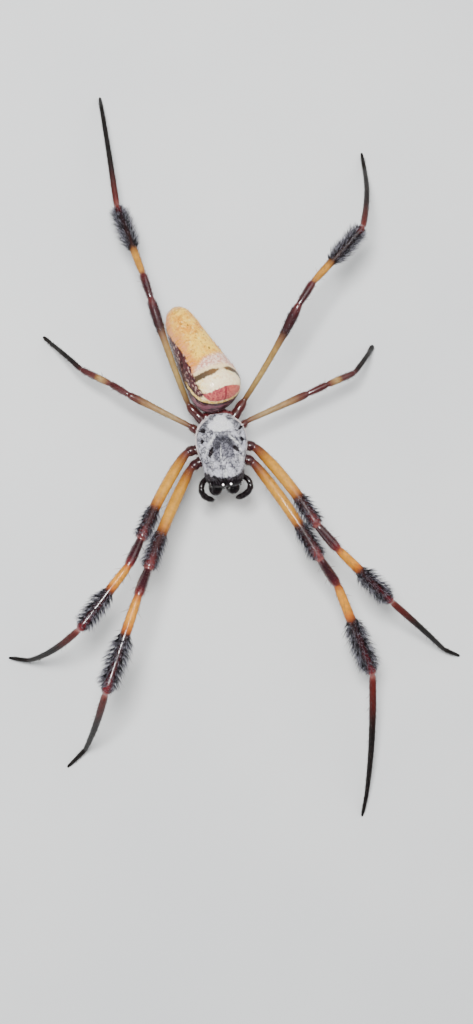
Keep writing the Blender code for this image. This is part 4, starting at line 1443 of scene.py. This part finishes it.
fang_finish = make_black_finish("fang_shell", "120608", "4A1614", rough=0.12)
jaws = [make_jaw(side) for side in "lr"]
for side in "lr":
    make_fang(side)

# %% [markdown]
# ## Palps
# The two palps are short feelers, like small legs without a foot, that curl round the front of the jaws.
# They are glossy black and are made as the legs are, straight first and then bent along the line of their
# solid.

# %% Model the palps
PALP_SHAPE = (
    (0, 0.26), (0.05, 0.36), (0.11, 0.36), (0.14, 0.29), (0.18, 0.38), (0.3, 0.41), (0.42, 0.44),
    (0.455, 0.35), (0.49, 0.43), (0.55, 0.46), (0.59, 0.37), (0.63, 0.43), (0.72, 0.47), (0.765, 0.39),
    (0.8, 0.43), (0.88, 0.42), (0.95, 0.31), (1, 0.12)
)
palp_lines = {side: lay_line(["palp_" + side], body_middle) for side in "lr"}


def make_palp(side):
    line = palp_lines[side]
    length = line["along"][-1]
    palp = straight_tube("feeler_" + side, [(t * length, r * MM) for t, r in PALP_SHAPE], sides=14)
    round_off(palp, 1)
    bend_along(palp, line["points"])
    put_on(palp, black_shell, "black_shell", "palp_" + side)
    return palp


palps = {side: make_palp(side) for side in "lr"}

# %% [markdown]
# ## The underside
# Between the hips lies the heart shaped breastplate, and in front of it the blunt mouth plates and the
# lip.
# None of this shows from above, but the model may be turned over, so each plate is rounded from its solid
# and gets its own furrows.

# %% Model the underside
def make_under_plate(node, name, finish, slot, marks):
    """A copy of a solid with bosses and furrows, measured in parts of its half size."""
    _, _, middle, half = room_of(node)
    plate = copy_solid(node, name, 2)
    points = read_points(plate)
    x, y = np.abs(points[:, 0] - middle.x) / half.x, (points[:, 1] - middle.y) / half.y
    pressed = np.full(len(points), -0.03)
    for across, along, wide, deep, amount in marks:
        pressed += amount * dent(x, y, (across, along), (wide, deep))
    press(plate, pressed)
    put_on(plate, finish, slot, node)


def make_breast_finish():
    """Dark wine plate with a paler middle."""
    bench = new_finish("breastplate", rough=0.3, coat=0.4)
    place = bench.place(tuple(room_of("sternum")[2]))
    mottle, height = grain(bench, place, 0.4)
    pale = bench.spots(place, ((0, 0.2), (0.5, 1.5), 0, 0.9))
    colour = bench.lay(bench.mix(mottle, "1C0B0C", "3E1A18"), "9A7A44", pale, 0.55)
    return bench.surface(colour, height, 0.3, 0.04)


wine_shell = make_black_finish("wine_shell", "2E0C10", "5C1C20", rough=0.28, coat=0.4)
HIP_BOSSES = (
    (0.9, 0.6, 0.3, 0.12, 0.08), (0.9, 0.1, 0.3, 0.12, 0.08), (0.8, -0.4, 0.3, 0.12, 0.08),
    (0, -0.9, 0.5, 0.1, 0.08)
)
MOUTH_MARKS = ((0.0, 0.0, 0.12, 1.2, -0.16), (0.55, -0.3, 0.3, 0.6, 0.06))
WAIST_FOLDS = ((0, -0.5, 2, 0.08, -0.08), (0, 0.0, 2, 0.08, -0.08), (0, 0.5, 2, 0.08, -0.08))
make_under_plate("sternum", "breastplate", make_breast_finish(), "maroon_shell", HIP_BOSSES)
make_under_plate("maxillae", "mouth_plates", wine_shell, "maroon_shell", MOUTH_MARKS)
make_under_plate("pedicel", "waist", wine_shell, "maroon_shell", WAIST_FOLDS)

# %% [markdown]
# ## The hind collar
# Behind the head, under the front of the abdomen, the last two hips meet in a dark, swollen collar round
# the waist, which is partly painted shade: its dark wine fills the shaded gap there.
# It closes the view to the ground between the hips, and it is a stack of oval rings, pinched behind where
# the waist passes and dented between the hips.

# %% Model the hind collar
COLLAR_WIDTH, COLLAR_DEPTH = 2.85 * MM, 1.62 * MM
COLLAR_RINGS = (
    (0.0, 0.55), (0.1, 0.78), (0.28, 0.94), (0.5, 1.0), (0.72, 0.92), (0.9, 0.72), (1.0, 0.45)
)


def make_collar():
    low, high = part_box("coxa_l4")
    middle = Vector((carapace_middle.x, carapace_high.y - 0.75 * MM, 0))
    top = high.z - 0.1 * MM
    rings = []
    for down, share in COLLAR_RINGS:
        place = (middle.x, middle.y, top - down * (top - low.z))
        rings.append((place, share * COLLAR_WIDTH, share * COLLAR_DEPTH))
    collar = stack("hind_collar", rings, sides=24)
    round_off(collar, 2)
    x, y, _ = ((read_points(collar) - np.array(middle)) / MM).T
    side = np.abs(x)
    pressed = -0.14 * dent(side, y, (0, 1.5), (0.32, 0.8))
    pressed = pressed - 0.12 * groove(side, y, (1.15, 0.4), (1.75, 1.5), 0.16)
    press(collar, pressed + 0.1 * dent(side, y, (1.75, 0.75), (0.5, 0.4)))
    # The dark wine of the collar is partly painted shade, filling the shaded gap between the hips and the
    # abdomen.
    put_on(collar, wine_shell, "maroon_shell")


make_collar()

# %% Bristles of the feelers and jaws
def make_face_hair_finish():
    """Dark bristles of the jaws and feelers, a few of them pale."""
    bench = new_finish("face_bristles", rough=0.4)
    colour = bench.mix(bench.edge(bench.told("strand"), 0.7, 1.0), "0C0809", "5E5659")
    return bench.hair_surface(colour, bench.place())


def grow_bristles(name, root, out, lie, length, least, most, size, lift, spot):
    """Stiff hairs of varied length, nearly straight."""
    length = length * MM * luck.uniform(least, most, len(root))
    coat = grow_hairs(name, root, out, lie, length, size * MM, math.radians(lift), 0.05, spot)
    put_on(coat, face_hair, "black_shell")


face_hair = make_face_hair_finish()
for side in "lr":
    root, out = scatter_on_skin(palps[side], 260, lambda root, out: np.ones(len(root)))
    line = palp_lines[side]
    near = [np.argmin(((line["points"] - r) ** 2).sum(1)) for r in root]
    reach = line["along"][near] / line["along"][-1]
    spot = np.stack([0.04 + 0.92 * reach, 0.5 + 0.4 * out[:, 2]], axis=1)
    grow_bristles(
        "feeler_bristles_" + side, root, out, line_ways(line)[near], 0.36, 0.5, 1.3, 0.011, 34, spot
    )


def jaw_chance(root, out):
    """Most of the bristles stand on the lower part of a jaw, and none under the face."""
    height = root[:, 2]
    return (height < high.z - 0.6 * MM) * (0.35 + 0.65 * (height < low.z + 1.0 * MM))


for side, jaw in zip("lr", jaws):
    low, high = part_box("chelicera_" + side)
    root, out = scatter_on_skin(jaw, 420, jaw_chance)
    turned = np.arctan2(out[:, 0], -out[:, 1]) / math.pi
    down = (root[:, 2] - low.z) / (high.z - low.z)
    spot = np.stack([0.5 + 0.45 * turned, 0.04 + 0.92 * down], axis=1)
    lie = np.array([[0, -0.3, -1.0]])
    grow_bristles("jaw_bristles_" + side, root, out, lie, 0.4, 0.5, 1.2, 0.012, 38, spot)

# %% [markdown]
# ## The abdomen
# The abdomen is a long soft bag, tough and leathery, that hangs from the waist and is rolled a little to
# its left here, so that its right flank shows.
# It has its own lengthwise axis, from the front pole to the tail, and its own back, so a small frame of
# three directions is found first, and everything on it is measured in that frame.
# The bag itself is the frame's solid, rounded, with muscle pits in pairs along the back, a fold where the
# lungs are, and a blunt tail.

# %% The abdomen's own directions
ABDOMEN_YAW, ABDOMEN_PITCH, ABDOMEN_ROLL = (math.radians(a) for a in (19.5, 18, 22))
abdomen_turn = Matrix.Rotation(ABDOMEN_YAW, 3, "Z")
for angle, around in ((-ABDOMEN_PITCH, "X"), (ABDOMEN_ROLL, "Y"), (-math.pi / 2, "X"), (math.pi, "Z")):
    abdomen_turn = abdomen_turn @ Matrix.Rotation(angle, 3, around)
axis = abdomen_turn.col[2]
abdomen_corners = corners("abdomen")
reach = abdomen_corners @ np.array(axis)
tail_pole = abdomen_corners[reach > reach.max() - 0.02 * MM].mean(0)
beside = np.linalg.norm(np.cross(abdomen_corners - tail_pole, np.array(axis)), axis=1)
front_reach = reach[(beside < 0.6 * MM) & (reach < reach.mean())].max()
ABDOMEN_LENGTH = (reach.max() - front_reach) / MM
front_pole = Vector(tail_pole) - axis * ABDOMEN_LENGTH * MM
print("abdomen", round(ABDOMEN_LENGTH, 2), "mm long")


def on_abdomen(points):
    """Across to its right, up its back and along to the tail, in millimetres from the front pole."""
    return ((points - np.array(front_pole)) @ np.array(abdomen_turn) / MM).T


# %% Model the abdomen
PIT_PAIRS = ((4.4, 0.75), (6.9, 0.62), (9.2, 0.5), (11.2, 0.4))


def make_abdomen():
    bag = copy_solid("abdomen", "abdomen_skin", 3)
    x, y, z = on_abdomen(read_points(bag))
    side = np.abs(x)
    above, below = np.clip(y, 0, 1), np.clip(-y, 0, 1)
    pressed = np.full(len(x), -0.03)
    for along, across in PIT_PAIRS:
        pressed -= 0.07 * above * dent(side, z, (across, along), (0.2, 0.24))
    pressed -= 0.05 * above * np.exp(-((side / 0.25) ** 2)) * np.clip((z - 2) / 3, 0, 1)
    pressed -= 0.16 * below * np.exp(-(((z - 3.6 - 0.15 * side) / 0.22) ** 2))
    valves, bosses = dent(side, z, (0, 3.0), (0.7, 0.45)), dent(side, z, (1.6, 2.2), (0.9, 0.8))
    pressed += 0.14 * below * valves + 0.08 * below * bosses
    flank = np.clip(1.2 - np.abs(y - 0.2), 0, 1)
    pressed += 0.035 * flank * np.sin(z * 5.2 + 1.6 * y) * np.clip(z / 3, 0, 1)
    press(bag, pressed)
    return bag


abdomen = make_abdomen()
print("abdomen", len(abdomen.data.polygons), "faces")

# %% [markdown]
# ## The abdomen's markings
# From the front: a wine red face below a thin yellow edge, two coral patches on the shoulder with a paler
# line between them, a cream band, a thin brown band that breaks at the middle, a rosy cream band, and
# then gold, finely mottled and spotted, as far as the tail.
# The flank is dark wine with rows of pale flecks, and the gold runs down into it in orange streaks.
# Each mark is a mask in the abdomen's own directions, laid one over the other as paint would be.

# %% The abdomen pattern group
DARK_DOTS = ((-0.43, 7.31, 0.17), (0.55, 11.6, 0.12), (-0.9, 9.6, 0.1))
FLANK_LINE = (
    (0.0, 0.93), (0.1, 0.925), (0.21, 0.92), (0.29, 0.93), (0.39, 0.915), (0.484, 0.87), (0.56, 0.8),
    (0.675, 0.62), (0.8, 0.38), (1.0, 0.0),
)


def fill_abdomen_pattern(bench, place):
    """Where on the abdomen; out comes its colour."""
    mix, lay, edge = bench.mix, bench.lay, bench.edge
    noise, times = bench.noise, bench.times
    shaken = bench.shaken(place, 2.0, 4, 0.65, (0.7, 0.7, 0.7))
    x, y, z = bench.split(shaken)
    across, up, along = bench.split(place)
    side = bench.sum("ABSOLUTE", across)
    right, left = bench.sum("MAXIMUM", across, 0.0), bench.sum("MINIMUM", across, 0.0)
    right_square, left_square = times(right, right), times(left, left)
    # gold
    broad = edge(noise(place, 0.55, 4, 0.6), 0.38, 0.62)
    fine = noise(place, 3.0, 4, 0.65)
    colour = mix(broad, "E0962A", "FACC4C")
    colour = mix(edge(fine, 0.52, 0.66, 0, 0.6), colour, "F6D878")
    colour = mix(edge(fine, 0.46, 0.36, 0, 0.6), colour, "B46E1C")
    spots = edge(bench.cells(shaken, 1.15), 0.26, 0.12)
    colour = lay(colour, "F8E290", spots, 0.55)
    ring = edge(bench.away(bench.cells(shaken, 0.62), 0.16), 0.09, 0.03)
    colour = lay(colour, "9C5A1C", ring, 0.45)
    # orange flanks of the gold
    turn = bench.sum("ARCTAN2", across, up)
    both_turn = bench.sum("ABSOLUTE", turn)
    streak = edge(noise(bench.stretch(place, (1.2, 0.5, 3.2)), 1.3, 3), 0.42, 0.6)
    shown = times(edge(turn, 0.55, 1.0), edge(z, 12.5, 9.5, 0.35, 1.0))
    low_gold = bench.sum("MAXIMUM", shown, edge(both_turn, 1.0, 1.35))
    colour = lay(colour, "D07226", low_gold, edge(streak, 0, 1, 0.55, 0.95))
    colour = lay(colour, "F0B488", times(low_gold, streak), 0.5)
    # rosy cream band, brown band, cream band
    gold_edge = bench.sum("MULTIPLY_ADD", right_square, 0.17, z)
    band_line = bench.sum("MULTIPLY_ADD", left_square, 0.11, z)
    band_line = bench.sum("MULTIPLY_ADD", right_square, -0.02, band_line)
    rosy = edge(gold_edge, 6.7, 5.9)
    rosy_colour = mix(edge(fine, 0.42, 0.6), "D09080", "F2DACA")
    rosy_colour = mix(edge(band_line, 5.0, 4.3, 0, 0.8), rosy_colour, "F8E2AC")
    colour = lay(colour, rosy_colour, rosy, 0.95)
    tints = edge(noise(place, 0.5, 2), 0.42, 0.6)
    cream = mix(edge(fine, 0.36, 0.6), mix(tints, "F6D484", "F8DCB4"), "FFF0C6")
    colour = mix(edge(band_line, 3.75, 3.55), colour, cream)
    from_break = bench.sum("ABSOLUTE", bench.sum("ADD", across, 0.35))
    thick = edge(from_break, 0.3, 1.6, 0.16, 0.42)
    off_line = bench.away(band_line, 3.74)
    brown = edge(bench.sum("SUBTRACT", off_line, thick), 0.14, -0.12)
    ends = edge(from_break, 0.15, 0.6)
    brown = times(brown, edge(ends, 0, 1, 0.15, 1.0))
    brown = times(brown, edge(turn, 1.16, 1.04))
    brown_colour = mix(edge(side, 0.6, 2.6), "5E3A12", "301A0A")
    colour = lay(colour, brown_colour, brown, 0.95)
    # coral patches
    bulge = times(times(right_square, right_square), 0.006)
    coral_top = bench.sum("SUBTRACT", bench.sum("SUBTRACT", z, 1.24), bulge)
    coral = times(edge(coral_top, 0.1, -0.06), edge(y, 1.0, 1.18))
    coral = times(coral, edge(both_turn, 1.17, 1.1))
    parting = edge(bench.away(across, 0.1), 0.05, 0.26)
    coral_colour = mix(edge(fine, 0.38, 0.62), "963844", "CC6A60")
    coral_colour = mix(edge(across, 0.4, -1.2, 0, 0.5), coral_colour, "D06A50")
    coral_colour = mix(parting, "8E3038", coral_colour)
    colour = mix(coral, colour, coral_colour)
    # dark flank with pale flecks
    line = bench.ramp(times(along, 1 / 16), FLANK_LINE)
    flank_line = bench.sum("MULTIPLY_ADD", line, 4.0, -2.0)
    waver = bench.sum("MULTIPLY_ADD", noise(place, 1.6, 2), 0.5, -0.25)
    depth = bench.sum("ADD", bench.sum("SUBTRACT", y, flank_line), waver)
    flank = times(edge(depth, 0.1, -0.1), edge(z, 1.35, 1.65))
    lean = bench.stretch(place, (0.8, 2.6, 1.2), (0.75, 0.2, 0.5))
    flecks = edge(bench.cells(lean, 1.25), 0.44, 0.22)
    flank_colour = mix(edge(fine, 0.4, 0.6), "280E14", "54262C")
    flank_colour = lay(flank_colour, "C8A498", flecks, 0.7)
    flank_colour = mix(edge(depth, -0.9, -2.2, 0, 0.6), flank_colour, "2A1518")
    colour = mix(flank, colour, flank_colour)
    # belly, and the wine red face under the yellow edge
    fall = bench.sum("MAXIMUM", bench.sum("SUBTRACT", along, 0.6), 0.0)
    rim_line = bench.sum("SUBTRACT", bench.sum("MULTIPLY_ADD", fall, -0.28, 0.8), up)
    belly = edge(rim_line, 0.1, 0.26)
    belly_far = mix(edge(bench.cells(shaken, 0.9), 0.3, 0.15), "2E1A1A", "A08A60")
    folds = edge(noise(bench.stretch(place, (0.6, 2.2, 1.0)), 0.9, 3), 0.44, 0.58)
    face_colour = mix(folds, "30101A", "7E4C58")
    belly_colour = mix(edge(along, 2.2, 4.5), face_colour, belly_far)
    belly_mask = times(belly, edge(along, 5.0, 3.4))
    colour = mix(belly_mask, colour, belly_colour)
    colour = mix(edge(up, -0.6, -1.4), colour, belly_colour)
    rim = times(edge(rim_line, -0.3, -0.2), edge(rim_line, 0.22, 0.12))
    rim = times(rim, edge(along, 5.2, 3.8))
    colour = mix(rim, colour, mix(edge(fine, 0.4, 0.6), "D8A63A", "F6E096"))
    hem = times(edge(rim_line, 0.16, 0.24), edge(rim_line, 0.52, 0.36))
    hem = times(hem, edge(along, 4.5, 3.0))
    colour = mix(hem, colour, "260C10")
    # three small dark dots
    for dot_x, dot_z, size in DARK_DOTS:
        off = {0: bench.sum("SUBTRACT", x, dot_x), 1: bench.sum("SUBTRACT", z, dot_z)}
        off = bench.add("VectorMath", 1, {0: bench.add("CombineXYZ", 0, off)}, operation="LENGTH")
        dot = times(edge(off, size * 1.3, size * 0.6), edge(y, 0.5, 0.8))
        colour = lay(colour, "5E3A1C", dot, 0.85)
    # tail
    tail = edge(along, 14.4, 15.5)
    colour = lay(colour, mix(edge(fine, 0.45, 0.55), "B77A4E", "F3DDC0"), tail, 0.55)
    return (colour,)


abdomen_pattern = make_group("abdomen_pattern", fill_abdomen_pattern, (("Color", "Color"),))


def abdomen_colours(bench):
    """The pattern placed in a material, centred and turned with the abdomen."""
    place = bench.place(tuple(front_pole), tuple(abdomen_turn.to_euler()))
    return place, bench.add("Group", 0, {"Place": place}, node_tree=abdomen_pattern)


# %% Abdomen materials
def make_abdomen_finish():
    """Leathery skin, a little moist, with fine pebbling."""
    bench = new_finish("abdomen_skin", rough=0.42, coat=0.12, specular=0.3)
    place, colour = abdomen_colours(bench)
    mottle, height = grain(bench, place, 0.45)
    pebble = bench.edge(bench.cells(place, 3.6), 0.0, 0.6)
    pebble = bench.sum("ADD", bench.times(height, 0.6), bench.times(pebble, 0.4))
    return bench.surface(colour, pebble, 0.45, 0.05, bench.edge(mottle, 0, 1, 0.34, 0.52))


def make_abdomen_down_finish():
    """Short silky hair, mostly the colour of the skin below it and brighter toward the tip."""
    bench = new_finish("abdomen_down", rough=0.5, specular=0.2)
    place, colour = abdomen_colours(bench)
    strand = bench.told("strand")
    tip = bench.told("tip")
    pale = bench.lay(colour, "F6EEDC", tip, 0.08)
    colour = bench.mix(bench.edge(strand, 0.8, 0.92), pale, "7A5438")
    return bench.hair_surface(colour, place)


put_on(abdomen, make_abdomen_finish(), "abdomen_skin", "abdomen")


# %% Grow the abdomen's down
def grow_abdomen_down(name, count, length, size, lift, chance):
    root, out = scatter_on_skin(abdomen, count, chance)
    x, y, z = on_abdomen(root)
    lie = np.array(axis)[None] + 0.3 * luck.normal(size=(len(x), 3))
    spot = np.stack([0.5 + 0.46 * np.arctan2(x, y) / math.pi, 0.03 + 0.94 * z / ABDOMEN_LENGTH], axis=1)
    length = length * MM * luck.uniform(0.6, 1.3, len(x))
    lift = math.radians(lift) + luck.normal(0, 0.12, len(x))
    coat = grow_hairs(name, root, out, lie, length, size * MM, lift, 0.1, spot)
    put_on(coat, abdomen_down, "abdomen_skin")


abdomen_down = make_abdomen_down_finish()
grow_abdomen_down("abdomen_down", 5200, 0.34, 0.011, 22, lambda root, out: np.ones(len(root)))
grow_abdomen_down(
    "abdomen_bristles", 900, 0.5, 0.013, 42, lambda root, out: 0.4 + 0.6 * (out[:, 2] < 0.2)
)

# %% [markdown]
# ## Spinnerets
# Under the tail a bunch of six short fingers draws the silk: a stout pair in front, a stout pair behind
# and a small pair between.
# One finger is modelled as a stack of rings, and copies of it are leaned together inside the box of their
# solid.

# %% Model the spinnerets
FINGER_RINGS = (
    (0, 0.34), (-0.12, 0.42), (-0.5, 0.36), (-0.58, 0.3), (-0.64, 0.34), (-0.9, 0.26), (-1.0, 0.12)
)
FINGER_PAIRS = ((0.26, -0.26, 0.8, 0.96, 8), (0.12, 0.02, 0.45, 0.8, 0), (0.24, 0.28, 0.72, 0.9, -10))


def make_spinnerets():
    """Three pairs of fingers, each at a place across and along, with its thickness, length and lean."""
    _, high, middle, half = room_of("spinnerets")
    finger = stack("finger", [((0, 0, z * MM), r * MM, r * MM) for z, r in FINGER_RINGS], sides=12)
    round_off(finger, 1)
    reach = half.z * 2 / MM
    fingers = [(side * x, *rest) for x, *rest in FINGER_PAIRS for side in (-1, 1)]
    for number, (x, y, thick, long, lean) in enumerate(fingers):
        part = new_piece(f"spinneret_{number + 1}", finger.data.copy())
        turn = np.array(Matrix.Rotation(math.radians(lean), 3, "X"))
        root = Vector((middle.x, middle.y, high.z)) + Vector((x, y, 0)) * MM
        write_points(part, (read_points(finger) * (thick, thick, long * reach)) @ turn.T + np.array(root))
        put_on(part, spinneret_finish, "maroon_shell", *(["spinnerets"] if number == 0 else []))
    bpy.data.objects.remove(finger)


spinneret_finish = make_black_finish("spinneret_shell", "4A2A1E", "8C5C3A", rough=0.4, coat=0.15)
make_spinnerets()
